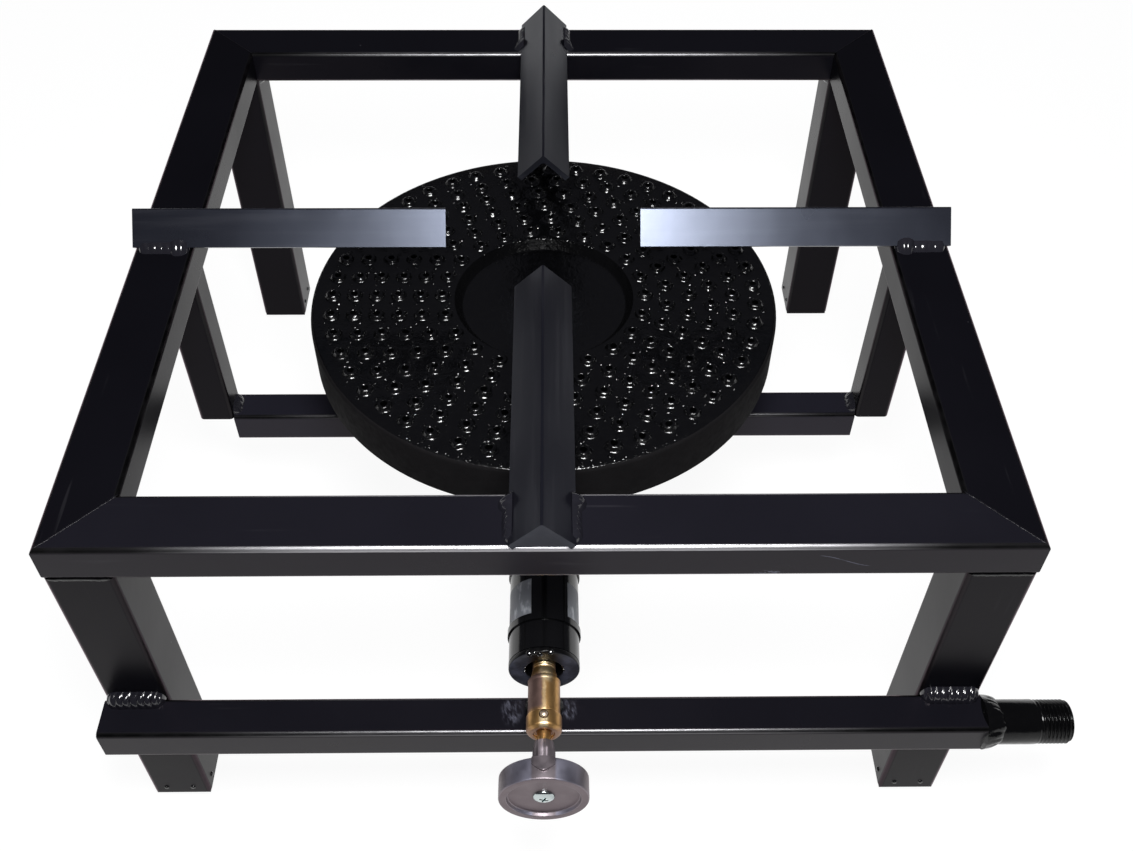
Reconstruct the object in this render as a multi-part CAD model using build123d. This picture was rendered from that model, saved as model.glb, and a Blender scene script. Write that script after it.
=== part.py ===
from build123d import *
import os
from math import atan2, cos, degrees, floor, pi, sqrt

# Single-burner gas stove: a welded tube stand carries a cast, perforated burner, which a mixer tube feeds
# from a needle valve on a square gas manifold. Sizes are in millimetres and angles in degrees. The origin
# is on the floor at the middle of the stand, with +X to the right of someone at the knob, +Y to the back
# and +Z up.

# Stand
FRAME_WIDTH = 420.0  # over the outer faces of the side rails
FRAME_DEPTH = 410.0  # over the outer faces of the front and back rails
FRAME_HEIGHT = 220.0  # from the floor to the rails' top
RAIL_WIDTH = 30.0  # the rails are rectangular tube laid flat
RAIL_HEIGHT = 20.0
LEG_SIDE = 30.0
TUBE_WALL = 1.5
TUBE_CORNER = 2.5  # outer corner radius of every square or rectangular tube
FOOT_THICKNESS = 4.0
FOOT_INSET = 0.75  # the plate's edge inside the leg's faces
FOOT_CHAMFER = 2.0

# Pot supports: equal angle with its ridge up
ANGLE_SIDE = 20.0
ANGLE_WALL = 3.0
ANGLE_RIDGE_RADIUS = 1.0
ANGLE_ROOT_RADIUS = 2.0
SUPPORT_LENGTH = 160.0
END_WEB = 3.0  # plate that closes the outer end of each angle
END_WEB_INSET = 1.0

# Cradle: two hangers under the side rails and the bar that carries the burner
BAR_SIDE = 20.0
CRADLE_DROP = 110.0  # from the rails' underside to the crossbar's top
HANGER_LAP = 2.0  # how far the hangers reach past the crossbar's top

# Gas manifold
MANIFOLD_SIDE = 20.0
END_PLATE = 3.0
FEED_HOLE = 8.0  # from the manifold up into the valve
NIPPLE_DIAMETER = 21.3  # half-inch pipe
NIPPLE_BORE = 15.8
NIPPLE_THREAD_DIAMETER = 20.955
NIPPLE_PLAIN_LENGTH = 23.0
NIPPLE_THREAD_LENGTH = 19.0
NIPPLE_CHAMFER = 1.0
NIPPLE_WELD = 2.5  # height of the bead round its foot
NIPPLE_WELD_LENGTH = 8.5

# Burner
BURNER_DIAMETER = 254.0
BURNER_HEIGHT = 86.0  # from the crossbar to the burner's flat top
HEAD_DEPTH = 27.0  # height of the head's outer wall
HEAD_PLATE = 8.0
HEAD_WALL = 4.0
HEAD_EDGE = 2.0  # chamfer round its upper edge
HEAD_CLEARANCE = 0.3  # between the head's skirt and the bowl's rim
LAND_DIAMETER = 98.0  # sunk middle of the head, at its upper edge
LAND_DEPTH = 5.0
LAND_SLOPE = 4.0  # how far its edge leans in
RING_PITCH = 12.0  # from one ring of ports to the next
PORT_SPACING = 15.6  # along a ring
PORT_MARGIN = 2.0  # from the land's edge to the first ring's nubs
PORT_HOLE = 3.8  # across corners
NUB_BASE = 9.0  # across corners
NUB_HEIGHT = 2.8
NUB_SIDES = 5
BOWL_WALL = 4.0
BOWL_DEPTH = 14.0  # inside, at the rim
BOWL_FALL = 13.0  # how much lower the floor lies at the hub
BOWL_FLOOR = 6.0
HUB_DIAMETER = 52.0
HUB_BORE = 36.0
HUB_FOOT = 14.0  # solid foot under the hub's bore
TIE_BOLT = 10.0
TIE_HEX = 17.0  # across flats
TIE_HEAD = 6.4
TIE_NUT = 8.0
TIE_END = 2.0  # thread standing out of the nut
WASHER_DIAMETER = 20.0
WASHER_THICKNESS = 2.0
BOLT_CLEARANCE = 0.5

# Mixer tube: one-inch pipe from the burner's hub to the front, with an air shutter round it
INLET_RISE = 30.0  # the burner inlet's axis above the crossbar
PIPE_DIAMETER = 33.7
PIPE_WALL = 3.2
MOUTH_SETBACK = 3.0  # the mouth plate's face behind the stand's front
MOUTH_PLATE = 3.0
MOUTH_HOLE = 17.7
SOCKET_REACH = 60.0  # from the burner's axis to the socket's mouth
SOCKET_DEPTH = 18.0
SOCKET_WALL = 5.0
SOCKET_CLEARANCE = 0.1
SHUTTER_SETBACK = 18.0  # behind the mouth plate's face
SHUTTER_LENGTH = 38.0
SHUTTER_WALL = 0.7
SHUTTER_CLEARANCE = 0.08
SHUTTER_BAND = 3.5  # closed ring at each end of the sleeve
SHUTTER_STRIP = 60.0  # angle of each strip that covers an air window
SHUTTER_TURN = 10.0  # how far the strips stand past the windows' middle when shut
AIR_WINDOW = 36.0  # angle of each window in the tube
AIR_WINDOW_END = 8.0  # from the sleeve's ends to the window

# Needle valve, along the mixer's axis; places are measured along it from the valve's inlet
VALVE_RISE = 17.5  # the axis above the manifold's top
BOSS_DIAMETER = 18.0
BOSS_HEIGHT = 7.0
STUB_DIAMETER = 13.2
INLET_BORE = 6.0
STUB_GAP = 1.5  # from the manifold to the stub's end
BARREL_DIAMETER = 15.0
NOSE_DIAMETER = 11.0
NECK_DIAMETER = 13.0
NOSE_END = 19.0
SHOULDER_BACK = 12.5
SHOULDER_FRONT = 6.5
BARREL_FRONT = -11.0
NECK_LENGTH = 5.0
ORIFICE = 3.0
SEAT = 6.0
CHAMBER_DIAMETER = 7.0
CHAMBER_FRONT = -5.0
OUTLET_START = 10.0
THREAD_FIT = 0.05  # radial, in every threaded or turning joint of the valve
SPINDLE_THREAD = 8.0
SPINDLE_THREAD_LENGTH = 6.0
STEM_DIAMETER = 6.4
PACKING_LENGTH = 3.4
PACKING_WALL = 1.7
GLAND_DIAMETER = 16.5
GLAND_FACE = 3.2  # thickness of the gland nut's end
GLAND_GAP = 0.8  # between the neck's end and the gland nut
GLAND_RECESS = 1.4
GLAND_CHAMFER = 1.5
LOCK_SCREW = 3.0
LOCK_SCREW_TOP = 1.5  # diameter of its rounded end
LOCK_SCREW_PLACE = 3.0  # in front of the gland nut's back edge
LOCK_SCREW_PROUD = 0.9
NEEDLE_DIAMETER = 4.0
NEEDLE_CONE = 4.5
NEEDLE_TIP = 1.2
NEEDLE_HOLD = 4.0  # depth of the needle's seat in the spindle
NEEDLE_FIT = 0.05
JET_SHANK = 6.0
JET_SHANK_LENGTH = 6.0
JET_HEX = 8.0
JET_HEX_LENGTH = 4.0
JET_NOZZLE = 5.0
JET_NOZZLE_LENGTH = 5.0
JET_BORE = 3.0
JET_HOLE = 1.2

# Knob
KNOB_DIAMETER = 40.0
KNOB_THICKNESS = 10.5
KNOB_EDGE = 1.0  # chamfer on both rims
KNOB_NECK = 10.4
KNOB_NECK_LENGTH = 17.0
KNOB_NOSE = 7.9
KNOB_NOSE_LENGTH = 6.0
KNOB_GAP = 4.0  # length of the bare stem between the gland nut and the knob
LUG_REACH = 7.0  # the lug over the rim, in line with the neck, in front of the disc's back
LUG_BACK = 4.0  # its rib behind the disc
LUG_PROUD = 1.4
LUG_POINT = 3.7  # length of its pointed end
LUG_TIP = 1.5  # rounding of the point
LUG_SHOULDER = 3.5  # rounding of its top edges
KNOB_RECESS_DIAMETER = 33.0
KNOB_RECESS = 2.5
KNOB_WEB = 2.0  # metal between the recess and the spindle's end
DRIVE_LENGTH = 10.0
DRIVE_FLAT = 2.7  # from the axis to the spindle's flat
KNOB_SCREW = 4.0
KNOB_SCREW_LENGTH = 10.0
KNOB_SCREW_HEAD = 9.8
KNOB_SCREW_HEIGHT = 2.6
KNOB_SCREW_CHAMFER = 1.0

# Weld beads
WELD_LEG = 5.0

# Places that follow from the sizes above
FRONT = -FRAME_DEPTH / 2
RAIL_TOP = FRAME_HEIGHT
RAIL_UNDERSIDE = RAIL_TOP - RAIL_HEIGHT
CROSSBAR_TOP = RAIL_UNDERSIDE - CRADLE_DROP
BURNER_TOP = CROSSBAR_TOP + BURNER_HEIGHT
MIXER_HEIGHT = CROSSBAR_TOP + INLET_RISE
MANIFOLD_TOP = MIXER_HEIGHT - VALVE_RISE
MANIFOLD_Y = FRONT - MANIFOLD_SIDE / 2
HANGER_X = FRAME_WIDTH / 2 - RAIL_WIDTH / 2
LEG_X = FRAME_WIDTH / 2 - LEG_SIDE / 2
LEG_Y = FRAME_DEPTH / 2 - LEG_SIDE / 2
ANGLE_REACH = ANGLE_SIDE / sqrt(2)  # half the width over the angle's toes
ANGLE_TOE = ANGLE_WALL / sqrt(2)
ANGLE_RIDGE = RAIL_TOP + ANGLE_REACH + ANGLE_TOE
MOUTH_Y = FRONT + MOUTH_SETBACK
SHUTTER_Y = MOUTH_Y + SHUTTER_SETBACK
BOWL_RADIUS = BURNER_DIAMETER / 2 - HEAD_WALL - HEAD_CLEARANCE
PIPE_RADIUS = PIPE_DIAMETER / 2
NECK_FRONT = BARREL_FRONT - NECK_LENGTH
GLAND_INSIDE = NECK_FRONT - GLAND_GAP
GLAND_FRONT = GLAND_INSIDE - GLAND_FACE
KNOB_BACK = GLAND_FRONT - KNOB_GAP
DISC_BACK = KNOB_BACK - KNOB_NECK_LENGTH
KNOB_FRONT = DISC_BACK - KNOB_THICKNESS
RECESS_FLOOR = KNOB_FRONT + KNOB_RECESS
SPINDLE_FRONT = RECESS_FLOOR + KNOB_WEB
SPINDLE_BACK = CHAMBER_FRONT - THREAD_FIT
MIXER_AXIS = Pos(0, 0, MIXER_HEIGHT)
VALVE_AXIS = Pos(0, MANIFOLD_Y, MIXER_HEIGHT)
# Profiles of pieces turned about Y are drawn with their radius upwards and their length along Y.
LEVEL = Plane(origin=(0, 0, 0), x_dir=(0, 0, 1), z_dir=(-1, 0, 0))


def outline(points, rounds=None):
    """Face inside a closed line; rounds gives the radius of each corner that is rounded, by its number."""
    face = make_face(Polyline(*points, close=True))
    for corner, radius in (rounds or {}).items():
        vertex = face.vertices().sort_by_distance(Vector(*points[corner]))[0]
        face = fillet(vertex, radius)
    return face


def turned_upright(points):
    """Solid of revolution about Z from (radius, height) points."""
    return revolve(Plane.XZ * outline(points), Axis.Z)


def turned_level(points, angle=360.0):
    """Solid of revolution about Y from (radius, place along Y) points."""
    return revolve(LEVEL * outline(points), Axis.Y, revolution_arc=angle)


def ring_level(inner, outer, start, end):
    """Plain ring about Y."""
    return turned_level([(inner, start), (outer, start), (outer, end), (inner, end)])


def rod_level(radius, start, end):
    """Plain rod along Y."""
    return turned_level([(0, start), (radius, start), (radius, end), (0, end)])


def hexagon(across_flats, height):
    """Upright hexagonal prism on the XY plane."""
    return extrude(RegularPolygon(across_flats / 2, 6, major_radius=False), height)


def tube(width, height, length):
    """Rectangular tube along Z with rounded outer corners."""
    outside = RectangleRounded(width, height, TUBE_CORNER)
    inside = Rectangle(width - 2 * TUBE_WALL, height - 2 * TUBE_WALL)
    return extrude(outside - inside, length)


def bead(length):
    """Fillet weld along X, in the corner above the XY plane and in front of the XZ plane."""
    section = outline([(0, 0), (WELD_LEG, 0), (0, WELD_LEG)])
    across = Plane(origin=(length / 2, 0, 0), x_dir=(0, -1, 0), z_dir=(-1, 0, 0))
    return extrude(across * section, length)


def group(solids):
    """Separate solids kept together as one piece."""
    return Compound(list(solids))


def rails():
    """Four rails, mitred where they meet."""
    def rail(length, offset, turn):
        lying = Plane(origin=(-length / 2, 0, 0), x_dir=(0, 1, 0), z_dir=(1, 0, 0))
        middle = Pos(0, RAIL_WIDTH / 2 - offset, RAIL_UNDERSIDE + RAIL_HEIGHT / 2)
        inner = length / 2 - RAIL_WIDTH
        mitre = outline([
            (-length / 2, -offset), (length / 2, -offset),
            (inner, RAIL_WIDTH - offset), (-inner, RAIL_WIDTH - offset),
        ])
        bar = middle * (lying * tube(RAIL_WIDTH, RAIL_HEIGHT, length))
        return Rot(0, 0, turn) * (bar & extrude(Pos(0, 0, RAIL_UNDERSIDE) * mitre, RAIL_HEIGHT))

    return {
        "front_rail": rail(FRAME_WIDTH, FRAME_DEPTH / 2, 0),
        "right_rail": rail(FRAME_DEPTH, FRAME_WIDTH / 2, 90),
        "back_rail": rail(FRAME_WIDTH, FRAME_DEPTH / 2, 180),
        "left_rail": rail(FRAME_DEPTH, FRAME_WIDTH / 2, 270),
    }


def legs():
    """Legs with their foot plates, and the welds under the rails beside each leg."""
    pieces = {}
    welds = []
    upright = tube(LEG_SIDE, LEG_SIDE, RAIL_UNDERSIDE - FOOT_THICKNESS)
    foot_side = LEG_SIDE - 2 * FOOT_INSET
    plate = extrude(Rectangle(foot_side, foot_side), FOOT_THICKNESS)
    plate = chamfer(plate.faces().sort_by(Axis.Z)[0].edges(), FOOT_CHAMFER)
    under_rail = Rot(180, 0, 0) * bead(LEG_SIDE - 2 * TUBE_CORNER)
    for depth, side_y in (("front", -1), ("rear", 1)):
        for width, side_x in (("left", -1), ("right", 1)):
            foot = Pos(side_x * LEG_X, side_y * LEG_Y, 0)
            pieces[f"{depth}_{width}_leg"] = foot * Pos(0, 0, FOOT_THICKNESS) * upright
            pieces[f"{depth}_{width}_foot"] = foot * plate
            top = foot * Pos(0, 0, RAIL_UNDERSIDE)
            inward_y = Rot(0, 0, 0 if side_y < 0 else 180)
            inward_x = Rot(0, 0, -90 if side_x < 0 else 90)
            welds.append(top * inward_y * Pos(0, LEG_SIDE / 2, 0) * under_rail)
            welds.append(top * inward_x * Pos(0, LEG_SIDE / 2, 0) * under_rail)
    pieces["leg_welds"] = group(welds)
    return pieces


def pot_supports():
    """Four angles standing on the rails, ridge up, closed at the outer end, with a weld along each toe."""
    root = ANGLE_RIDGE - ANGLE_WALL * sqrt(2)
    toe_high = ANGLE_RIDGE - ANGLE_REACH
    inner = ANGLE_REACH - ANGLE_TOE
    section = outline([
        (0, ANGLE_RIDGE), (ANGLE_REACH, toe_high), (inner, RAIL_TOP),
        (0, root), (-inner, RAIL_TOP), (-ANGLE_REACH, toe_high),
    ], {0: ANGLE_RIDGE_RADIUS, 3: ANGLE_ROOT_RADIUS})
    angle = extrude(Plane.XZ * section, -SUPPORT_LENGTH)
    web = outline([(inner, RAIL_TOP), (0, root), (-inner, RAIL_TOP)])
    angle += Pos(0, END_WEB_INSET, 0) * extrude(Plane.XZ * web, -END_WEB)
    toe_weld = outline([(inner, RAIL_TOP), (ANGLE_REACH + WELD_LEG / 2, RAIL_TOP), (ANGLE_REACH, toe_high)])
    right_weld = Pos(0, TUBE_CORNER, 0) * extrude(Plane.XZ * toe_weld, 2 * TUBE_CORNER - RAIL_WIDTH)
    both = [right_weld, mirror(right_weld, Plane.YZ)]
    pieces = {}
    welds = []
    for name, turn, offset in (
        ("front", 0, FRAME_DEPTH / 2), ("right", 90, FRAME_WIDTH / 2),
        ("back", 180, FRAME_DEPTH / 2), ("left", 270, FRAME_WIDTH / 2),
    ):
        seat = Rot(0, 0, turn) * Pos(0, -offset, 0)
        pieces[f"{name}_pot_support"] = seat * angle
        welds += [seat * weld for weld in both]
    pieces["support_welds"] = group(welds)
    return pieces


def cradle():
    """Hangers and crossbar under the burner, with their welds."""
    low = CROSSBAR_TOP - HANGER_LAP
    hanger = Pos(0, 0, low) * tube(BAR_SIDE, BAR_SIDE, RAIL_UNDERSIDE - low)
    length = 2 * HANGER_X - BAR_SIDE
    lying = Plane(origin=(-length / 2, 0, CROSSBAR_TOP - BAR_SIDE / 2), x_dir=(0, 1, 0), z_dir=(1, 0, 0))
    hole = Pos(0, 0, CROSSBAR_TOP - BAR_SIDE / 2) * Cylinder((TIE_BOLT + BOLT_CLEARANCE) / 2, 2 * BAR_SIDE)
    run = bead(BAR_SIDE - 2 * TUBE_CORNER)
    welds = []
    for side in (-1, 1):
        top = Pos(side * HANGER_X, 0, RAIL_UNDERSIDE)
        hung = Pos(0, BAR_SIDE / 2, 0) * Rot(180, 0, 0) * run
        welds += [top * hung, top * Rot(0, 0, 180) * hung]
        corner = Pos(side * length / 2, 0, CROSSBAR_TOP)
        welds.append(corner * Rot(0, 0, -90 if side > 0 else 90) * run)
    return {
        "left_hanger": Pos(-HANGER_X, 0, 0) * hanger,
        "right_hanger": Pos(HANGER_X, 0, 0) * hanger,
        "burner_crossbar": lying * tube(BAR_SIDE, BAR_SIDE, length) - hole,
        "cradle_welds": group(welds),
    }


def manifold():
    """Square gas tube across the front legs, closed on the left, with the threaded inlet on the right."""
    half = FRAME_WIDTH / 2
    centre = Pos(0, MANIFOLD_Y, MANIFOLD_TOP - MANIFOLD_SIDE / 2)
    across = Plane(origin=(0, 0, 0), x_dir=(0, 1, 0), z_dir=(1, 0, 0))
    length = 2 * (half - END_PLATE)
    feed = Pos(0, 0, MANIFOLD_SIDE / 2) * Cylinder(FEED_HOLE / 2, MANIFOLD_SIDE)
    plate = across * extrude(RectangleRounded(MANIFOLD_SIDE, MANIFOLD_SIDE, TUBE_CORNER), END_PLATE)
    bore = across * extrude(Circle(NIPPLE_BORE / 2), END_PLATE)
    plain, thread, hollow = NIPPLE_DIAMETER / 2, NIPPLE_THREAD_DIAMETER / 2, NIPPLE_BORE / 2
    end = NIPPLE_PLAIN_LENGTH + NIPPLE_THREAD_LENGTH
    upright = turned_upright([
        (hollow, 0), (plain, 0), (plain, NIPPLE_PLAIN_LENGTH), (thread, NIPPLE_PLAIN_LENGTH),
        (thread, end - NIPPLE_CHAMFER), (thread - NIPPLE_CHAMFER, end), (hollow, end),
    ])
    collar = turned_upright([(plain, 0), (plain + NIPPLE_WELD, 0), (plain, NIPPLE_WELD_LENGTH)])
    to_right = centre * Pos(half, 0, 0) * Rot(0, 90, 0)
    run = bead(LEG_SIDE - 2 * TUBE_CORNER)
    seams = [Pos(side * LEG_X, FRONT, MANIFOLD_TOP) * run for side in (-1, 1)]
    stub = (STUB_DIAMETER / 2) + THREAD_FIT
    boss = turned_upright([
        (stub, 0), (BOSS_DIAMETER / 2, 0), (BOSS_DIAMETER / 2, BOSS_HEIGHT), (stub, BOSS_HEIGHT),
    ])
    pipe = Pos(-length / 2, 0, 0) * (across * tube(MANIFOLD_SIDE, MANIFOLD_SIDE, length))
    return {
        "gas_manifold": centre * (pipe - feed),
        "manifold_end_plate": centre * Pos(-half, 0, 0) * plate,
        "manifold_inlet_plate": centre * Pos(half - END_PLATE, 0, 0) * (plate - bore),
        "gas_inlet_nipple": to_right * upright,
        "manifold_welds": group(seams + [to_right * collar]),
        "valve_boss": Pos(0, MANIFOLD_Y, MANIFOLD_TOP) * boss,
    }


def port_places():
    """Middle of each port: rings with every other one turned by half a step."""
    first = LAND_DIAMETER / 2 + PORT_MARGIN + NUB_BASE / 2
    last = BOWL_RADIUS - BOWL_WALL - PORT_HOLE / 2
    places = []
    for ring in range(floor((last - first) / RING_PITCH) + 1):
        radius = first + ring * RING_PITCH
        count = round(2 * pi * radius / PORT_SPACING)
        step = 360 / count
        places += [Rot(0, 0, (port + ring % 2 / 2) * step) * Pos(radius, 0, 0) for port in range(count)]
    return places


def burner():
    """Cast head with its ports, the bowl under it, and the bolt that ties both to the crossbar."""
    radius = BURNER_DIAMETER / 2
    bolt_hole = (TIE_BOLT + BOLT_CLEARANCE) / 2
    land = LAND_DIAMETER / 2
    land_top = BURNER_TOP - LAND_DEPTH
    rim = BURNER_TOP - HEAD_PLATE
    skirt = BURNER_TOP - HEAD_DEPTH
    shell = turned_upright([
        (bolt_hole, land_top), (land - LAND_SLOPE, land_top), (land, BURNER_TOP),
        (radius - HEAD_EDGE, BURNER_TOP), (radius, BURNER_TOP - HEAD_EDGE), (radius, skirt),
        (radius - HEAD_WALL, skirt), (radius - HEAD_WALL, rim), (land, rim),
        (land - LAND_SLOPE, land_top - HEAD_PLATE), (bolt_hole, land_top - HEAD_PLATE),
    ])
    places = port_places()
    lean = degrees(atan2((NUB_BASE - PORT_HOLE) / 2 * cos(pi / NUB_SIDES), NUB_HEIGHT))
    nub = Pos(0, 0, BURNER_TOP) * extrude(RegularPolygon(NUB_BASE / 2, NUB_SIDES), NUB_HEIGHT, taper=lean)
    hole = Pos(0, 0, rim) * extrude(RegularPolygon(PORT_HOLE / 2, NUB_SIDES), HEAD_PLATE + NUB_HEIGHT)
    head = shell + [place * nub for place in places]
    head -= [place * hole for place in places]

    hub, hub_bore = HUB_DIAMETER / 2, HUB_BORE / 2
    foot = CROSSBAR_TOP + HUB_FOOT
    inner = BOWL_RADIUS - BOWL_WALL
    floor_rim = rim - BOWL_DEPTH
    floor_hub = floor_rim - BOWL_FALL
    socket = PIPE_RADIUS + SOCKET_WALL
    bowl = turned_upright([
        (bolt_hole, CROSSBAR_TOP), (hub, CROSSBAR_TOP), (hub, floor_hub - BOWL_FLOOR),
        (BOWL_RADIUS, floor_rim - BOWL_WALL), (BOWL_RADIUS, rim), (inner, rim), (inner, floor_rim),
        (hub_bore, floor_hub), (hub_bore, foot), (bolt_hole, foot),
    ])
    bowl += MIXER_AXIS * rod_level(socket, -SOCKET_REACH, -hub_bore)
    bowl -= Pos(0, 0, foot) * extrude(Circle(hub_bore), rim - foot)
    bowl -= MIXER_AXIS * rod_level(PIPE_RADIUS + SOCKET_CLEARANCE, -SOCKET_REACH, SOCKET_DEPTH - SOCKET_REACH)
    bowl -= MIXER_AXIS * rod_level(PIPE_RADIUS - PIPE_WALL, -SOCKET_REACH, 0)

    bolt_low = CROSSBAR_TOP - BAR_SIDE
    nut_low = land_top + WASHER_THICKNESS
    bolt_high = nut_low + TIE_NUT + TIE_END
    nut_hole = TIE_BOLT / 2 + THREAD_FIT
    bolt = Pos(0, 0, bolt_low - TIE_HEAD) * hexagon(TIE_HEX, TIE_HEAD)
    bolt += Pos(0, 0, bolt_low) * extrude(Circle(TIE_BOLT / 2), bolt_high - bolt_low)
    washer = extrude(Circle(WASHER_DIAMETER / 2) - Circle(bolt_hole), WASHER_THICKNESS)
    nut = hexagon(TIE_HEX, TIE_NUT) - extrude(Circle(nut_hole), TIE_NUT)
    return {
        "burner_head": head,
        "burner_bowl": bowl,
        "burner_tie_bolt": bolt,
        "burner_tie_washer": Pos(0, 0, land_top) * washer,
        "burner_tie_nut": Pos(0, 0, nut_low) * nut,
    }


def mixer():
    """Mixer tube with its mouth plate and the sleeve that opens and shuts its air windows."""
    def windows(inner, outer, start, end, angle, turn):
        sector = turned_level([(inner, start), (outer, start), (outer, end), (inner, end)], angle=angle)
        return [Rot(0, turn + half_turn - angle / 2, 0) * sector for half_turn in (0, 180)]

    bore = PIPE_RADIUS - PIPE_WALL
    sleeve = PIPE_RADIUS + SHUTTER_CLEARANCE
    sleeve_outside = sleeve + SHUTTER_WALL
    sleeve_end = SHUTTER_Y + SHUTTER_LENGTH
    pipe = ring_level(bore, PIPE_RADIUS, MOUTH_Y + MOUTH_PLATE, SOCKET_DEPTH - SOCKET_REACH)
    pipe -= windows(
        bore - PIPE_WALL, sleeve_outside, SHUTTER_Y + AIR_WINDOW_END, sleeve_end - AIR_WINDOW_END,
        AIR_WINDOW, 0,
    )
    shutter = ring_level(sleeve, sleeve_outside, SHUTTER_Y, sleeve_end)
    shutter -= windows(
        bore, sleeve_outside + SHUTTER_WALL, SHUTTER_Y + SHUTTER_BAND, sleeve_end - SHUTTER_BAND,
        180 - SHUTTER_STRIP, SHUTTER_TURN + 90,
    )
    plate = ring_level(MOUTH_HOLE / 2, PIPE_RADIUS, MOUTH_Y, MOUTH_Y + MOUTH_PLATE)
    return {
        "mixer_tube": MIXER_AXIS * pipe,
        "mixer_mouth_plate": MIXER_AXIS * plate,
        "air_shutter": MIXER_AXIS * shutter,
    }


def valve():
    """Needle valve: body, jet, gland, needle and spindle."""
    barrel, nose, neck = BARREL_DIAMETER / 2, NOSE_DIAMETER / 2, NECK_DIAMETER / 2
    stem, thread = STEM_DIAMETER / 2, SPINDLE_THREAD / 2
    packing_bore = stem + THREAD_FIT
    packing_outside = packing_bore + PACKING_WALL
    packing_back = GLAND_INSIDE + PACKING_LENGTH

    body = turned_level([
        (0, NOSE_END), (nose, NOSE_END), (nose, SHOULDER_BACK), (barrel, SHOULDER_FRONT),
        (barrel, BARREL_FRONT), (neck, BARREL_FRONT), (neck, NECK_FRONT), (0, NECK_FRONT),
    ])
    stub_low = STUB_GAP - VALVE_RISE
    body += Pos(0, 0, stub_low) * extrude(Circle(STUB_DIAMETER / 2), -stub_low)
    body -= Pos(0, 0, stub_low) * extrude(Circle(INLET_BORE / 2), -stub_low)
    body -= rod_level(JET_SHANK / 2 + THREAD_FIT, OUTLET_START, NOSE_END)
    body -= rod_level(ORIFICE / 2, SEAT, OUTLET_START)
    body -= rod_level(CHAMBER_DIAMETER / 2, CHAMBER_FRONT, SEAT)
    body -= rod_level(thread + THREAD_FIT, NECK_FRONT, CHAMBER_FRONT)
    body -= rod_level(packing_outside + THREAD_FIT, NECK_FRONT, packing_back)

    jet_front = NOSE_END - JET_SHANK_LENGTH
    jet_hex = NOSE_END + JET_HEX_LENGTH
    jet_end = jet_hex + JET_NOZZLE_LENGTH
    jet = turned_level([
        (JET_HOLE / 2, jet_end), (JET_NOZZLE / 2, jet_end), (JET_NOZZLE / 2, NOSE_END),
        (JET_SHANK / 2, NOSE_END), (JET_SHANK / 2, jet_front), (JET_BORE / 2, jet_front),
        (JET_BORE / 2, jet_hex), (JET_HOLE / 2, jet_hex),
    ])
    flats = Pos(0, NOSE_END, 0) * (Rot(-90, 0, 0) * hexagon(JET_HEX, JET_HEX_LENGTH))
    jet += flats - rod_level(JET_NOZZLE / 2, NOSE_END, jet_hex)

    gland = GLAND_DIAMETER / 2
    recess = GLAND_FRONT + GLAND_RECESS
    nut = turned_level([
        (neck + THREAD_FIT, BARREL_FRONT), (gland, BARREL_FRONT), (gland, GLAND_FRONT + GLAND_CHAMFER),
        (gland - GLAND_CHAMFER, GLAND_FRONT), (packing_outside, GLAND_FRONT), (packing_outside, recess),
        (packing_bore, recess), (packing_bore, GLAND_INSIDE), (neck + THREAD_FIT, GLAND_INSIDE),
    ])
    lock_place = Pos(0, BARREL_FRONT - LOCK_SCREW_PLACE, 0)
    nut -= lock_place * extrude(Circle(LOCK_SCREW / 2 + THREAD_FIT), GLAND_DIAMETER)
    lock_length = gland + LOCK_SCREW_PROUD - neck - THREAD_FIT
    lock = turned_upright([
        (0, 0), (LOCK_SCREW / 2, 0), (LOCK_SCREW / 2, lock_length - LOCK_SCREW_PROUD),
        (LOCK_SCREW_TOP / 2, lock_length), (0, lock_length),
    ])

    thread_front = SPINDLE_BACK - SPINDLE_THREAD_LENGTH
    socket = NEEDLE_DIAMETER / 2 + NEEDLE_FIT
    socket_end = SPINDLE_BACK - NEEDLE_HOLD
    tapped = KNOB_SCREW / 2 + THREAD_FIT
    tapped_end = SPINDLE_FRONT + KNOB_SCREW_LENGTH
    spindle = turned_level([
        (socket, SPINDLE_BACK), (thread, SPINDLE_BACK), (thread, thread_front), (stem, thread_front),
        (stem, SPINDLE_FRONT), (tapped, SPINDLE_FRONT), (tapped, tapped_end), (0, tapped_end),
        (0, socket_end), (socket, socket_end),
    ])
    spindle -= drive_flat(STEM_DIAMETER, DRIVE_FLAT)

    seat_radius = ORIFICE / 2 - NEEDLE_FIT
    slope = (NEEDLE_DIAMETER - NEEDLE_TIP) / 2 / NEEDLE_CONE
    cone_front = SEAT - (NEEDLE_DIAMETER / 2 - seat_radius) / slope
    needle = turned_level([
        (0, socket_end), (NEEDLE_DIAMETER / 2, socket_end), (NEEDLE_DIAMETER / 2, cone_front),
        (NEEDLE_TIP / 2, cone_front + NEEDLE_CONE), (0, cone_front + NEEDLE_CONE),
    ])
    return {
        "valve_body": VALVE_AXIS * body,
        "injector_jet": VALVE_AXIS * jet,
        "gland_nut": VALVE_AXIS * nut,
        "gland_packing": VALVE_AXIS * ring_level(packing_bore, packing_outside, GLAND_INSIDE, packing_back),
        "gland_lock_screw": VALVE_AXIS * lock_place * Pos(0, 0, neck + THREAD_FIT) * lock,
        "valve_spindle": VALVE_AXIS * spindle,
        "valve_needle": VALVE_AXIS * needle,
    }


def drive_flat(width, height):
    """Block that cuts the flat on the spindle's drive end, or leaves it in the knob's bore."""
    return Pos(0, SPINDLE_FRONT + DRIVE_LENGTH / 2, height + width / 2) * Box(width, DRIVE_LENGTH, width)


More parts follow.
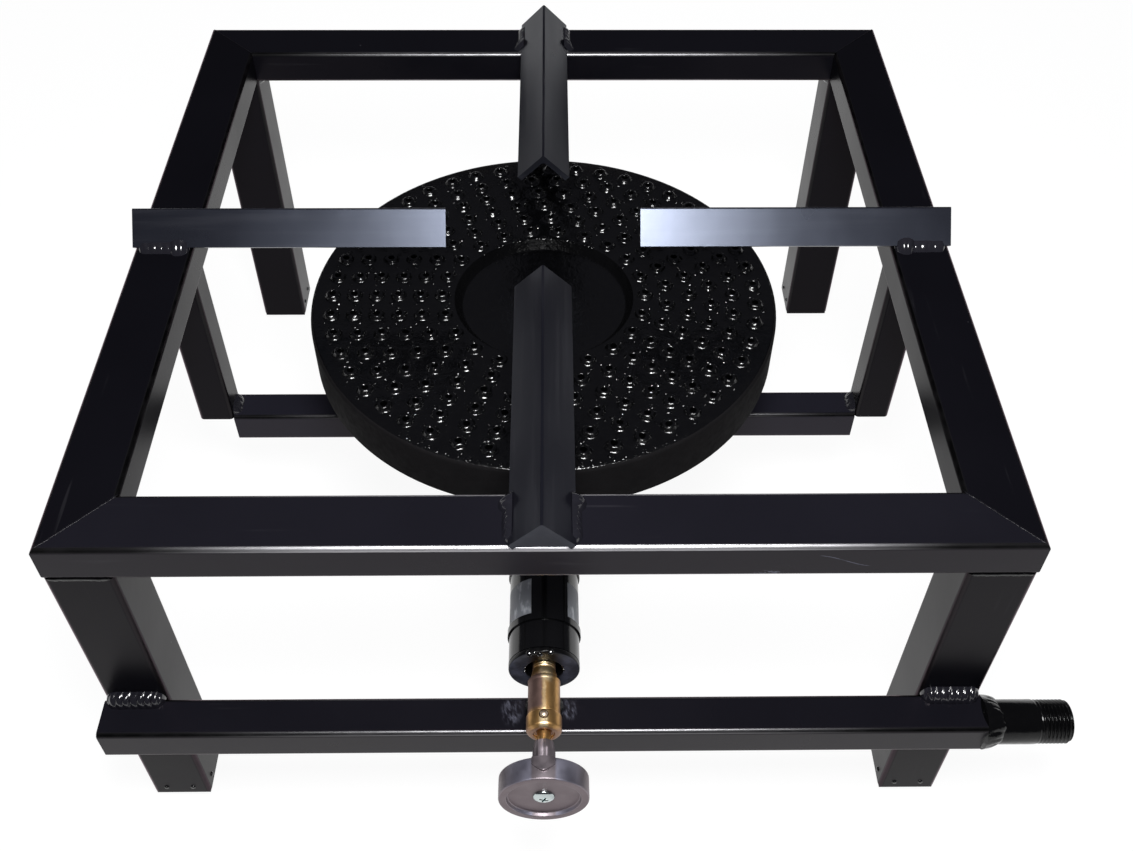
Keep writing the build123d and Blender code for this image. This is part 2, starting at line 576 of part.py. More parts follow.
def knob():
    """Cast knob with a neck and a lug over its rim, held on the spindle by a screw in its sunk face."""
    disc, recess, neck = KNOB_DIAMETER / 2, KNOB_RECESS_DIAMETER / 2, KNOB_NECK / 2
    bore = STEM_DIAMETER / 2 + THREAD_FIT
    screw_hole = KNOB_SCREW / 2 + THREAD_FIT
    body = turned_level([
        (bore, KNOB_BACK), (KNOB_NOSE / 2, KNOB_BACK), (neck, KNOB_BACK - KNOB_NOSE_LENGTH),
        (neck, DISC_BACK), (disc - KNOB_EDGE, DISC_BACK), (disc, DISC_BACK - KNOB_EDGE),
        (disc, KNOB_FRONT + KNOB_EDGE), (disc - KNOB_EDGE, KNOB_FRONT), (recess, KNOB_FRONT),
        (recess, RECESS_FLOOR), (screw_hole, RECESS_FLOOR), (screw_hole, SPINDLE_FRONT),
        (bore, SPINDLE_FRONT),
    ])
    body += drive_flat(STEM_DIAMETER, DRIVE_FLAT + THREAD_FIT) & rod_level(neck, SPINDLE_FRONT, KNOB_BACK)
    lug_front, lug_back = DISC_BACK - LUG_REACH, DISC_BACK + LUG_BACK
    lug_low, lug_top = (bore + neck) / 2, disc + LUG_PROUD
    plan = outline([
        (-neck, lug_back), (-neck, lug_front + LUG_POINT), (0, lug_front), (neck, lug_front + LUG_POINT),
        (neck, lug_back),
    ], {2: LUG_TIP})
    side = outline([
        (lug_front, lug_low), (lug_front, disc + LUG_PROUD / 2), (DISC_BACK, lug_top), (lug_back, neck),
        (lug_back, lug_low),
    ])
    corners = [(-neck, lug_low), (-neck, lug_top), (neck, lug_top), (neck, lug_low)]
    arch = outline(corners, {1: LUG_SHOULDER, 2: LUG_SHOULDER})
    lug = extrude(plan, lug_top) & extrude(Plane.YZ * side, neck, both=True)
    lug &= extrude(Plane.XZ * arch, -lug_front, both=True)
    body += lug - rod_level(recess, KNOB_FRONT, RECESS_FLOOR)
    head, shank = KNOB_SCREW_HEAD / 2, KNOB_SCREW / 2
    head_front = RECESS_FLOOR - KNOB_SCREW_HEIGHT
    shank_end = RECESS_FLOOR + KNOB_SCREW_LENGTH
    screw = turned_level([
        (0, head_front), (head - KNOB_SCREW_CHAMFER, head_front), (head, head_front + KNOB_SCREW_CHAMFER),
        (head, RECESS_FLOOR), (shank, RECESS_FLOOR), (shank, shank_end), (0, shank_end),
    ])
    return {"control_knob": VALVE_AXIS * body, "knob_screw": VALVE_AXIS * screw}


os.makedirs("parts", exist_ok=True)
for make in (rails, legs, pot_supports, cradle, manifold, burner, mixer, valve, knob):
    for name, piece in make().items():
        export_step(piece, f"parts/{name}.step")
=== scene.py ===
from math import ceil, cos, pi, radians, sin, sqrt, tan

import bmesh
import bpy
from bpy.props import FloatProperty, FloatVectorProperty, IntProperty, PointerProperty
from bpy.types import NodeSocket, Operator, Panel, PropertyGroup
from mathutils import Matrix, Vector, noise
from mathutils.geometry import delaunay_2d_cdt


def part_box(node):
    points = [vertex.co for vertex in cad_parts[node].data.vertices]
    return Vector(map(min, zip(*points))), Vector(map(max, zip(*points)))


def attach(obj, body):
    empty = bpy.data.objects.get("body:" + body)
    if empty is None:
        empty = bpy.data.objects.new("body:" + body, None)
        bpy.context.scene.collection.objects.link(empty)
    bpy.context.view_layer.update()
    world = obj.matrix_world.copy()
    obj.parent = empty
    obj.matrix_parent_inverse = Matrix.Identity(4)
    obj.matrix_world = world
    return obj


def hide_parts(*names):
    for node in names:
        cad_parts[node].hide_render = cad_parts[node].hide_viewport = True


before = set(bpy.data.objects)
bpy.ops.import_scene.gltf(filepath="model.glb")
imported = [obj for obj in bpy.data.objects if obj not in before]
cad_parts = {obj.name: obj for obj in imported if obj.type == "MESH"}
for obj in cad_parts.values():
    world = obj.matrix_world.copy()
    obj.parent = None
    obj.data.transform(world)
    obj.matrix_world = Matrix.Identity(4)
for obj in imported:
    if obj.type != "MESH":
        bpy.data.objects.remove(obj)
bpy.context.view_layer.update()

bl_info = {
    "name": "Gas Burner Stove",
    "version": (1, 0, 0),
    "blender": (4, 5, 0),
    "location": "View3D > Sidebar > Stove",
    "description": "Dresses the CAD frame of a single-burner gas stove with its finishes and fine shapes",
    "category": "Object",
}

# Lengths in the code are millimetres times MM; Blender's own unit is the metre.
MM = 0.001
RIGHT, BACK, UP = Vector((1, 0, 0)), Vector((0, 1, 0)), Vector((0, 0, 1))
# Stretches of a noise that draw it out along one axis.
ALONG_X, ALONG_Y, ALONG_Z = (0.05, 1.0, 1.0), (1.0, 0.05, 1.0), (1.0, 1.0, 0.05)
LEGS = ("front_left_leg", "front_right_leg", "rear_left_leg", "rear_right_leg")
FEET = ("front_left_foot", "front_right_foot", "rear_left_foot", "rear_right_foot")


def length(name, default, description):
    """Length property in metres."""
    return FloatProperty(name=name, description=description, default=default, unit="LENGTH", min=0.0,
                         precision=5)


def share(name, default, description):
    """Number from 0 to 1."""
    return FloatProperty(name=name, description=description, default=default, min=0.0, max=1.0,
                         subtype="FACTOR")


def colour(name, default, description):
    """Linear colour property."""
    return FloatVectorProperty(name=name, description=description, default=default, size=3, min=0.0,
                               max=1.0, subtype="COLOR")


def spot(name, default, description):
    """Place in metres."""
    return FloatVectorProperty(name=name, description=description, default=default, size=3, unit="LENGTH",
                               subtype="TRANSLATION")


def angle(name, degrees, description):
    """Angle property, its default written in degrees."""
    return FloatProperty(name=name, description=description, default=radians(degrees), subtype="ANGLE")


def power(name, default, description):
    """Power of a lamp in watts."""
    return FloatProperty(name=name, description=description, default=default, unit="POWER", min=0.0)


class StoveFinishes(PropertyGroup):
    """Colours and gloss of the stove's finishes."""

    paint: colour("Stand paint", (0.0044, 0.0043, 0.0064), "Semi-gloss black of the welded stand")
    paint_roughness: share("Paint roughness", 0.30, "How dull the stand's paint is")
    rail_shine: share("Rail shine", 0.15, "How much the paint of the rails and manifold mirrors")
    leg_shine: share("Leg shine", 0.075, "How much the paint of the legs and cradle mirrors")
    paint_glint: colour("Paint glint", (1.0, 0.85, 0.92), "Tint of what the stand's paint mirrors")
    support_roughness: share("Support roughness", 0.30, "How dull the thinner paint of the pot supports is")
    support_shine: share("Support shine", 0.80, "How much the paint of the pot supports mirrors")
    support_glint: colour("Support glint", (0.70, 0.78, 1.0), "Tint of what the pot supports mirror")
    # The edges' metal colour is made bright in the middle of the stand as a painted highlight.
    edge_metal: colour("Worn edge", (0.17, 0.168, 0.175), "Metal that shows through along the tubes' edges")
    joint_line: colour("Joint line", (0.001, 0.001, 0.001), "Dark line where a leg meets its rail")
    enamel: colour("Burner enamel", (0.0016, 0.0016, 0.0018), "Thick gloss black on the castings and welds")
    burner_top: colour("Burner top", (0.0006, 0.0006, 0.0007), "Deep black between the burner's ports")
    enamel_roughness: share("Enamel roughness", 0.15, "How dull the burner's enamel is")
    wall: colour("Burner wall", (0.0055, 0.0052, 0.0056), "Dull black on the burner's wall")
    wall_shine: share("Wall shine", 0.02, "How much the dull black on the burner's wall mirrors")
    weld: colour("Weld paint", (0.0072, 0.0070, 0.0096), "Gloss black over the weld beads")
    scuff: colour("Scuff", (0.17, 0.175, 0.23), "Bluish rubbed streaks on the manifold and front rail")
    # Painted reflection: the pale sheen that the mouth's face shows.
    mouth_sheen: colour("Mouth dust", (0.050, 0.053, 0.075), "Pale dust on the face of the mixer's mouth")
    dust: colour("Dust", (0.20, 0.20, 0.22), "Specks and rubbed spots on the paint")
    bare_steel: colour("Bare steel", (0.20, 0.21, 0.235), "Unpainted mixer tube in the shutter's windows")
    scraped_steel: colour("Scraped steel", (0.52, 0.54, 0.58), "Scrapes along the unpainted mixer tube")
    brass: colour("Brass", (0.70, 0.410, 0.155), "Turned brass of the valve")
    # Painted highlight along the top of the valve.
    brass_highlight: colour("Rubbed brass", (0.97, 0.77, 0.47), "Brass rubbed bright along the top of the valve")
    # Brown on the left of the barrel, and painted shade where the brass faces sideways or down.
    brass_brown_and_shade: colour("Tarnish", (0.23, 0.150, 0.130), "Brown film on the left of the valve's barrel")
    lock_screw: colour("Lock screw", (0.95, 0.76, 0.58), "Pale brass of the gland nut's lock screw")
    screw_seat: colour("Screw seat", (0.08, 0.045, 0.025), "Dark ring round the lock screw")
    packing: colour("Packing", (0.06, 0.06, 0.06), "Palest strands of the graphited packing")
    knob: colour("Knob metal", (0.255, 0.222, 0.240), "Cast light alloy of the knob")
    # Painted light: the knob's paler tone where it faces up.
    knob_top_light: colour("Knob top", (0.42, 0.42, 0.53), "Paler skin of the knob where it faces up")
    # Painted shade on the knob's forward face.
    knob_face_shade: colour("Knob face", (0.150, 0.118, 0.127), "Handled metal on the face of the knob")
    zinc: colour("Zinc", (0.52, 0.58, 0.58), "Bright plating of the knob screw and the needle")


class StoveBurner(PropertyGroup):
    """Shapes of the cast burner head and its fixings."""

    port_radius: length("Port radius", 1.7 * MM, "Radius of each gas port")
    nub_radius: length("Nub foot radius", 5.4 * MM, "Radius of a raised port where it leaves the plate")
    nub_fillet: length("Nub fillet", 1.5 * MM, "Hollow rounding at the foot of a raised port")
    nub_lip: length("Nub lip", 1.1 * MM, "Rounding of a raised port's lip")
    nub_height: length("Nub height", 2.8 * MM, "Height of the raised ports above the plate")
    nub_sides: IntProperty(name="Nub sides", description="Facets round each raised port", default=16, min=8)
    first_ring: length("First ring", 55.5 * MM, "Radius of the innermost ring of ports")
    ring_pitch: length("Ring pitch", 12.0 * MM, "Distance from one ring of ports to the next")
    port_spacing: length("Port spacing", 15.6 * MM, "Distance between ports along a ring")
    rings: IntProperty(name="Rings", description="Number of rings of ports", default=6, min=1)
    plate: length("Plate", 8.0 * MM, "Thickness of the perforated plate")
    wall: length("Wall", 4.0 * MM, "Thickness of the head's outer wall")
    edge: length("Edge radius", 2.5 * MM, "Rounding of the head's upper edge")
    land_radius: length("Land radius", 49.0 * MM, "Radius of the sunk middle at its upper edge")
    land_depth: length("Land depth", 5.0 * MM, "How deep the middle is sunk")
    land_slope: length("Land slope", 4.0 * MM, "How far the land's edge leans in")
    bolt_hole: length("Bolt hole", 5.25 * MM, "Radius of the hole for the tie bolt")
    nut_bore: length("Nut bore", 5.05 * MM, "Radius inside the tie nut")


class StoveWelds(PropertyGroup):
    """Shapes of the weld beads."""

    leg: length("Bead leg", 4.6 * MM, "Reach of a fillet weld along each face")
    pitch: length("Ripple pitch", 3.4 * MM, "Distance between the ripples of a bead")
    ripple: share("Ripple depth", 0.20, "Depth of the ripples as a share of the bead")
    lumps: share("Lumps", 0.15, "How uneven a bead is along its run")
    inset: length("Bead inset", 2.5 * MM, "How far a bead stops short of the tube's corner")
    collar_rise: length("Collar rise", 2.6 * MM, "How far the inlet's weld stands out on its plate")
    collar_reach: length("Collar reach", 8.6 * MM, "How far the inlet's weld runs along the nipple")
    seam_width: length("Seam width", 1.0 * MM, "Width of the ground weld along a mitre")
    seam_height: length("Seam height", 0.16 * MM, "Height of the ground weld along a mitre")
    tack: length("Tack radius", 1.4 * MM, "Radius of the tacks that hold the foot plates")
    tack_height: length("Tack place", 5.5 * MM, "Height of the tacks above the leg's lower end")


class StoveInlet(PropertyGroup):
    """Shape of the threaded gas inlet."""

    pitch: length("Thread pitch", 1.814 * MM, "Half-inch pipe thread, fourteen to the inch")
    crest: length("Crest radius", 10.4775 * MM, "Radius over the thread's crests")
    depth: length("Thread depth", 0.95 * MM, "Depth of the thread under its crests")
    plain: length("Plain length", 25.5 * MM, "Length of the nipple before its thread")
    bore: length("Bore radius", 7.9 * MM, "Inside radius of the nipple")


class StoveValve(PropertyGroup):
    """Shapes of the mixer's mouth, the brass valve and the knob."""

    mouth: length("Mouth radius", 8.85 * MM, "Radius of the hole in the mixer's mouth")
    edge: length("Turned edge", 0.5 * MM, "Rounding of the brass edges")
    nose: length("Nose radius", 5.5 * MM, "Radius of the valve's nose in the mixer's mouth")
    nose_length: length("Nose length", 6.5 * MM, "Length of the nose before its cone")
    neck: length("Neck radius", 6.5 * MM, "Radius of the valve's neck inside the gland nut")
    gas_bore: length("Gas bore", 3.05 * MM, "Radius of the gas way behind the needle's seat")
    spindle_bore: length("Spindle bore", 4.05 * MM, "Radius of the bore in which the spindle turns")
    lock_head: length("Lock screw head", 1.75 * MM, "Radius of the lock screw's domed head")
    knob_depth: length("Knob depth", 10.5 * MM, "Depth of the knob's disc")
    knob_edge: length("Knob edge", 0.9 * MM, "Rounding of the knob's rims")
    knob_rim: length("Knob rim", 3.5 * MM, "Width of the rim round the knob's sunk face")
    knob_recess: length("Knob recess", 1.9 * MM, "Depth of the knob's sunk face")
    knob_neck: length("Knob neck", 5.2 * MM, "Radius of the knob's neck and half the width of its lug")
    knob_bore: length("Knob bore", 3.25 * MM, "Radius of the knob's bore round the spindle")
    screw_slot: length("Screw recess", 0.9 * MM, "Width of the cross in the knob screw's head")
    screw_dome: length("Screw dome", 1.7 * MM, "Height of the knob screw's domed head")


class StoveStage(PropertyGroup):
    """Camera, floor and lights."""

    lens: FloatProperty(name="Lens", description="Focal length in millimetres", default=38.98, min=1.0,
                        unit="CAMERA")
    sensor: FloatProperty(name="Sensor", description="Width of the sensor in millimetres", default=36.0,
                          min=1.0, unit="CAMERA")
    place: spot("Camera place", (4.69 * MM, -506.56 * MM, 625.39 * MM), "Where the camera stands")
    turn: angle("Camera turn", -0.93, "Turn about the upright axis")
    tilt: angle("Camera tilt", 42.39, "Tilt up from looking straight down")
    roll: angle("Camera roll", 0.46, "Roll about the line of sight")
    floor: length("Floor size", 180.0, "Side of the square floor")
    floor_glow: share("Floor glow", 0.93, "Share of the floor's white that doesn't depend on the lamps")
    key_power: power("Key power", 5.6, "Lamp beside the camera")
    key_size: length("Key size", 0.22, "Diameter of the lamp beside the camera")
    key_place: spot("Key place", (0.03, -0.40, 0.74), "Where the key lamp stands")
    key_target: spot("Key target", (0.0, -0.02, 0.2), "What the key lamp points at")
    top_power: power("Top power", 22.0, "Wide lamp above the stove")
    top_size: length("Top size", 2.4, "Side of the wide lamp")
    top_place: spot("Top place", (0.0, 0.1, 2.2), "Where the wide lamp hangs")
    room: colour("Room", (0.05, 0.05, 0.06), "Light of the room around the stage")


def angles(end, steps):
    """Angles from 0 to an end in even steps, both included."""
    return [end * i / steps for i in range(steps + 1)]


def turns(count):
    """Angles of a full turn in even steps."""
    return angles(2 * pi, count)[:-1]


def circle(centre, radius, count):
    """Points of a level circle."""
    return [(centre[0] + radius * cos(turn), centre[1] + radius * sin(turn)) for turn in turns(count)]


def soften(points, radius, steps=4, closed=False):
    """Profile with its corners rounded, as far as the edges beside them allow."""
    result = []
    last = len(points) - 1
    for i, point in enumerate(points):
        here = Vector(point)
        if not closed and i in (0, last):
            result.append(tuple(here))
            continue
        before, after = Vector(points[i - 1]), Vector(points[(i + 1) % len(points)])
        reach = min(radius, 0.45 * (before - here).length, 0.45 * (after - here).length)
        start = here + (before - here).normalized() * reach
        end = here + (after - here).normalized() * reach
        for k in range(steps + 1):
            t = k / steps
            result.append(tuple(start * (1 - t) ** 2 + here * (2 * t * (1 - t)) + end * t ** 2))
    return result


def skin(rows, columns, closed=False):
    """Four-sided faces over rows of points that each go round; closed joins the last row to the first."""
    faces = []
    for i in range(rows if closed else rows - 1):
        low, high = i * columns, (i + 1) % rows * columns
        for k in range(columns):
            m = (k + 1) % columns
            faces.append((low + k, low + m, high + m, high + k))
    return faces


def caps(rows, columns):
    """Faces over the first and the last row of points."""
    return [tuple(range(columns)), tuple(range((rows - 1) * columns, rows * columns))]


def lathe(profile, axis, centre=(0, 0, 0), segments=72, closed=False):
    """Vertices and faces of a turned piece from (radius, place along the axis) points."""
    along, out, side = {
        "X": (RIGHT, BACK, UP), "Y": (BACK, RIGHT, UP), "Z": (UP, RIGHT, BACK),
    }[axis]
    spokes = [out * cos(turn) + side * sin(turn) for turn in turns(segments)]
    verts = [Vector(centre) + along * place + spoke * radius for radius, place in profile for spoke in spokes]
    return verts, skin(len(profile), segments, closed)


def joined(*parts):
    """Vertices and faces of several shapes as one."""
    verts, faces = [], []
    for points, polygons in parts:
        start = len(verts)
        verts += points
        faces += [tuple(start + i for i in polygon) for polygon in polygons]
    return verts, faces


def piece(name, shape, material, body, nodes=(), crease=38.0):
    """Mesh object from vertices and faces, dressed, riding on a body and standing for its CAD nodes."""
    mesh = bpy.data.meshes.new(name)
    work = bmesh.new()
    points = [work.verts.new(p) for p in shape[0]]
    for polygon in shape[1]:
        work.faces.new([points[i] for i in polygon])
    bmesh.ops.remove_doubles(work, verts=work.verts, dist=0.002 * MM)
    bmesh.ops.dissolve_degenerate(work, edges=work.edges, dist=0.001 * MM)
    bmesh.ops.recalc_face_normals(work, faces=work.faces)
    work.to_mesh(mesh)
    work.free()
    if not mesh.polygons:
        raise RuntimeError(f"{name} has no faces")
    mesh.shade_smooth()
    mesh.set_sharp_from_angle(angle=radians(crease))
    mesh.materials.append(material)
    made = bpy.data.objects.new(name, mesh)
    bpy.context.scene.collection.objects.link(made)
    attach(made, body)
    if nodes:
        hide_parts(*nodes)
    return made


def dress(material, *nodes):
    """Gives CAD nodes a finish."""
    for name in nodes:
        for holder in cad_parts[name].material_slots:
            holder.material = material


def times(tone, factor):
    """Colour made darker or paler."""
    return tuple(min(c * factor, 1.0) for c in tone)


class Finish:
    """A procedural material: its node tree, its shader and the coordinates of the stove's frame."""

    def __init__(self, name):
        self.material = bpy.data.materials.new(name)
        self.material.use_nodes = True
        self.tree = self.material.node_tree
        self.shader = self.tree.nodes["Principled BSDF"]
        self.coordinates = self.put("ShaderNodeTexCoord").outputs

    def fill(self, node, sockets):
        """Sets sockets of a node: to a number or colour, or from another node's output."""
        for key, value in sockets.items():
            if isinstance(value, NodeSocket):
                self.tree.links.new(value, node.inputs[key])
            else:
                node.inputs[key].default_value = value

    def put(self, kind, sockets=None, **settings):
        """Adds a node with its settings and sockets."""
        made = self.tree.nodes.new(kind)
        for key, value in settings.items():
            setattr(made, key, value)
        self.fill(made, sockets or {})
        return made

    def done(self, **sockets):
        """Sets the shader's sockets, named with _ for a space, and gives the finished material."""
        self.fill(self.shader, {key.replace("_", " "): value for key, value in sockets.items()})
        return self.material

    def maths(self, operation, first, second=0.0, clamp=False):
        """Output of a math node."""
        return self.put("ShaderNodeMath", {0: first, 1: second}, operation=operation,
                        use_clamp=clamp).outputs[0]

    def all_of(self, first, *others):
        """Product of several masks."""
        for other in others:
            first = self.maths("MULTIPLY", first, other)
        return first

    def any_of(self, first, *others):
        """Largest of several masks."""
        for other in others:
            first = self.maths("MAXIMUM", first, other)
        return first

    def spread(self, value, low, high, to_low=0.0, to_high=1.0):
        """Value moved smoothly from one range to another."""
        return self.put("ShaderNodeMapRange", {
            "Value": value, "From Min": low, "From Max": high, "To Min": to_low, "To Max": to_high,
        }, interpolation_type="SMOOTHSTEP").outputs[0]

    def between(self, value, low, high, soft):
        """1 where a value lies between two limits, with soft edges."""
        rise = self.spread(value, low - soft, low + soft)
        return self.all_of(rise, self.spread(value, high - soft, high + soft, 1.0, 0.0))

    def patch(self, across, along, centre, radii):
        """1 in the middle of a soft oval, 0 outside it."""
        squares = []
        for value, middle, radius in zip((across, along), centre, radii):
            off = self.maths("DIVIDE", self.maths("SUBTRACT", value, middle), radius)
            squares.append(self.maths("MULTIPLY", off, off))
        return self.spread(self.maths("ADD", *squares), 1.0, 0.0)

    def tint(self, factor, first, second):
        """Colour between two, by a factor."""
        ends = [value if isinstance(value, NodeSocket) else (*value, 1.0) for value in (first, second)]
        return self.put("ShaderNodeMix", {0: factor, 6: ends[0], 7: ends[1]}, data_type="RGBA").outputs[2]

    def parts(self, coordinates="Object"):
        """X, Y and Z of the place on the stove, or of the direction in which its surface faces."""
        return self.put("ShaderNodeSeparateXYZ", {0: self.coordinates[coordinates]}).outputs

    def grain(self, scale, detail=3.0, stretch=(1.0, 1.0, 1.0), place=None):
        """Noise at a scale given per metre, drawn out along the axes with a small stretch."""
        sockets = {0: place or self.coordinates["Object"], 1: stretch}
        drawn = self.put("ShaderNodeVectorMath", sockets, operation="MULTIPLY").outputs[0]
        sockets = {"Vector": drawn, "Scale": scale, "Detail": detail}
        return self.put("ShaderNodeTexNoise", sockets).outputs["Fac"]

    def wander(self, scale, reach):
        """Noise that shifts a place by up to about half a reach to either side."""
        return self.maths("MULTIPLY", self.maths("SUBTRACT", self.grain(scale), 0.5), reach)

    def relief(self, *layers):
        """Chains bump layers, each a height with its strength and depth, into the shader's normal."""
        normal = {}
        for height, strength, depth in layers:
            sockets = {"Height": height, "Strength": strength, "Distance": depth, **normal}
            normal = {"Normal": self.put("ShaderNodeBump", sockets).outputs[0]}
        self.fill(self.shader, normal)


def boss_scuffs(coat):
    """Streaks brushed into the manifold's top on both sides of the valve."""
    low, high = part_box("gas_manifold")
    row = (low.y + high.y) / 2
    x, y, z = coat.parts()
    left = coat.patch(x, y, (-15.5 * MM, row + 2.0 * MM), (6.0 * MM, 9.5 * MM))
    right = coat.patch(x, y, (11.8 * MM, row + 3.0 * MM), (4.5 * MM, 8.0 * MM))
    slant = coat.put("ShaderNodeVectorRotate", {"Vector": coat.coordinates["Object"], "Angle": radians(-20)},
                     rotation_type="Z_AXIS").outputs[0]
    streaks = coat.spread(coat.grain(950.0, 5.0, (1.0, 0.30, 1.0), slant), 0.40, 0.85)
    return coat.all_of(streaks, coat.any_of(left, right), coat.maths("GREATER_THAN", z, high.z - 0.5 * MM))


def rail_scuffs(coat):
    """A rubbed spot low on the front rail's face and one long scratch right of it."""
    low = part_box("front_rail")[0]
    x, y, z = coat.parts()
    smudge = coat.patch(x, z, (95.0 * MM, low.z + 2.3 * MM), (7.5 * MM, 2.2 * MM))
    smudge = coat.all_of(smudge, coat.spread(coat.grain(900.0, 3.0, (0.5, 1.0, 1.0)), 0.45, 0.62))
    run = coat.spread(x, 114.0 * MM, 139.0 * MM, low.z + 14.4 * MM, low.z + 7.0 * MM)
    off = coat.maths("ABSOLUTE", coat.maths("SUBTRACT", z, run))
    scratch = coat.all_of(coat.spread(off, 0.35 * MM, 0.10 * MM),
                          coat.between(x, 116.0 * MM, 136.5 * MM, 1.5 * MM),
                          coat.spread(coat.grain(350.0, 2.0), 0.30, 0.60, 0.25, 0.75))
    return coat.all_of(coat.any_of(smudge, scratch), coat.maths("LESS_THAN", y, low.y + 1.0 * MM))


def dust_marks(coat, broad, stretch):
    """Scattered specks, and fine scratches where the broad noise is high."""
    cells = coat.put("ShaderNodeTexVoronoi", {"Vector": coat.coordinates["Object"], "Scale": 62.0}).outputs
    near = coat.maths("LESS_THAN", cells["Distance"], 0.030)
    draw = coat.put("ShaderNodeSeparateColor", {0: cells["Color"]}).outputs[0]
    speck = coat.all_of(near, coat.maths("GREATER_THAN", draw, 0.80), 0.45)
    scratch = coat.spread(coat.grain(260.0, 2.0, stretch), 0.66, 0.74)
    return coat.any_of(speck, coat.all_of(scratch, coat.spread(broad, 0.45, 0.62), 0.035))


def edge_metal_highlight(coat, edge_shine):
    """Mask of the tubes' rounded edges and their metal's colour, made bright in the middle of the stand as a
    painted highlight.
    """
    metal = bpy.context.scene.stove_finishes.edge_metal
    flat = coat.any_of(*[coat.maths("ABSOLUTE", part) for part in coat.parts("Normal")])
    patchy = coat.spread(coat.grain(120.0), 0.30, 0.62, 0.80, 1.0)
    edge_mask = coat.all_of(coat.spread(flat, 0.992, 0.92), patchy)
    middle = coat.spread(coat.maths("ABSOLUTE", coat.parts()[0]), 175.0 * MM, 70.0 * MM)
    return edge_mask, coat.tint(middle, times(metal, 0.1), times(metal, edge_shine))


def paint(name, stretch=(1.0, 1.0, 1.0), joint=None, shine=None, scuffs=None, depth=1.0, edge_shine=1.0, dim=1.0):
    """Sprayed black on steel with dust and scratches, which stretch draws out along a tube.

    With a shine it is the stand's paint with metal along its rounded edges, bright in the middle of the stand
    as a painted highlight, and without one the thinner paint of the pot supports. joint is the height of a
    dark joint line, scuffs masks rubbed places, depth makes lighter and darker copies of the paint as painted
    light, the edge strength scales the painted highlight on the edges, and dim scales the supports' shine.
    """
    looks = bpy.context.scene.stove_finishes
    coat = Finish(name)
    broad = coat.grain(14.0, 4.0)
    marks = dust_marks(coat, broad, stretch)
    # depth scales the paint's colour into lighter and darker copies of one paint: painted light.
    base = coat.tint(broad, times(looks.paint, 0.80 * depth), times(looks.paint, 1.25 * depth))
    if not shine:
        smear = coat.spread(coat.grain(190.0, 4.0, stretch), 0.46, 0.70, 0.0, 0.035)
        base = coat.tint(smear, base, looks.dust)
    base = coat.tint(marks, base, looks.dust)
    if scuffs:
        rubbed = coat.maths("MULTIPLY", scuffs(coat), 0.7)
        base = coat.tint(rubbed, base, looks.scuff)
        marks = coat.any_of(marks, rubbed)
    if joint is not None:
        line = coat.between(coat.parts()[2], joint - 0.5 * MM, joint + 0.5 * MM, 0.25 * MM)
        base = coat.tint(coat.maths("MULTIPLY", line, 0.75), base, looks.joint_line)
    gloss = looks.paint_roughness if shine else looks.support_roughness
    dull = coat.spread(broad, 0.3, 0.7, gloss - 0.03, gloss + 0.03)
    dull = coat.maths("ADD", dull, coat.maths("MULTIPLY", marks, 0.4), clamp=True)
    # Metal along the rounded edges, its colour bright in the middle of the stand as a painted highlight.
    if shine:
        edge_mask, metal = edge_metal_highlight(coat, edge_shine)
        base = coat.tint(edge_mask, base, metal)
        dull = coat.maths("ADD", dull, coat.maths("MULTIPLY", edge_mask, 0.045 * edge_shine))
        coat.done(Metallic=edge_mask)
    coat.relief((coat.grain(55.0, 2.0), 0.10, 0.6 * MM), (coat.grain(900.0, 2.0), 0.10, 0.08 * MM))
    glint = looks.paint_glint if shine else looks.support_glint
    return coat.done(Base_Color=base, Roughness=dull, Specular_Tint=(*glint, 1.0),
                     Specular_IOR_Level=shine or looks.support_shine * dim)


def enamel(name, cast, fine, gloss=0.0, shine=0.5, base=None, overlay=None):
    """Thick gloss black brushed over rough metal; cast and fine give the depth of its lumps and its grain."""
    looks = bpy.context.scene.stove_finishes
    coat = Finish(name)
    lumps = coat.grain(240.0, 5.0)
    base = base or looks.enamel
    tone = coat.tint(coat.grain(40.0, 4.0), base, times(base, 1.9))
    # The mask passed in tints the enamel; on the mouth this is a painted reflection.
    if overlay:
        tone = coat.tint(overlay(coat), tone, looks.mouth_sheen)
    rough = looks.enamel_roughness - gloss
    dull = coat.spread(lumps, 0.3, 0.75, max(rough - 0.03, 0.02), rough + 0.09)
    coat.relief((lumps, cast, 0.9 * MM), (coat.grain(700.0), fine, 0.25 * MM))
    return coat.done(Base_Color=tone, Roughness=dull, Specular_IOR_Level=shine)


def painted_mouth_sheen(coat):
    """Painted reflection: a pale sheen on both sides of the mouth's face, fainter towards its top."""
    low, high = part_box("mixer_mouth_plate")
    middle = (low.z + high.z) / 2
    x, y, z = coat.parts()
    sides = coat.spread(coat.maths("ABSOLUTE", x), 3.0 * MM, 11.0 * MM)
    cloud = coat.spread(coat.grain(160.0, 4.0), 0.30, 0.65, 0.35, 1.0)
    return coat.all_of(sides, cloud, coat.spread(z, middle + 17.0 * MM, middle + 8.0 * MM),
                       coat.maths("LESS_THAN", y, low.y + 0.4 * MM))


def tube_enamel(name, bare):
    """Gloss black run along the mixer tube; bare gives the stretch along Y that is left as grey steel."""
    looks = bpy.context.scene.stove_finishes
    coat = Finish(name)
    runs = coat.grain(190.0, 3.0, (1.0, 0.06, 1.0))
    tone = coat.tint(runs, looks.enamel, times(looks.enamel, 2.4))
    rough = coat.spread(runs, 0.3, 0.7, 0.10, 0.20)
    if bare:
        open_part = coat.between(coat.parts()[1], *bare, 0.4 * MM)
        scrape = coat.spread(coat.grain(300.0, 6.0, (1.0, 0.35, 1.0)), 0.52, 0.70)
        tone = coat.tint(open_part, tone, coat.tint(scrape, looks.bare_steel, looks.scraped_steel))
        rough = coat.spread(open_part, 0.0, 1.0, 0.15, 0.50)
    coat.relief((runs, 0.25, 0.5 * MM), (coat.grain(420.0, 4.0), 0.10, 0.2 * MM))
    return coat.done(Base_Color=tone, Roughness=rough)


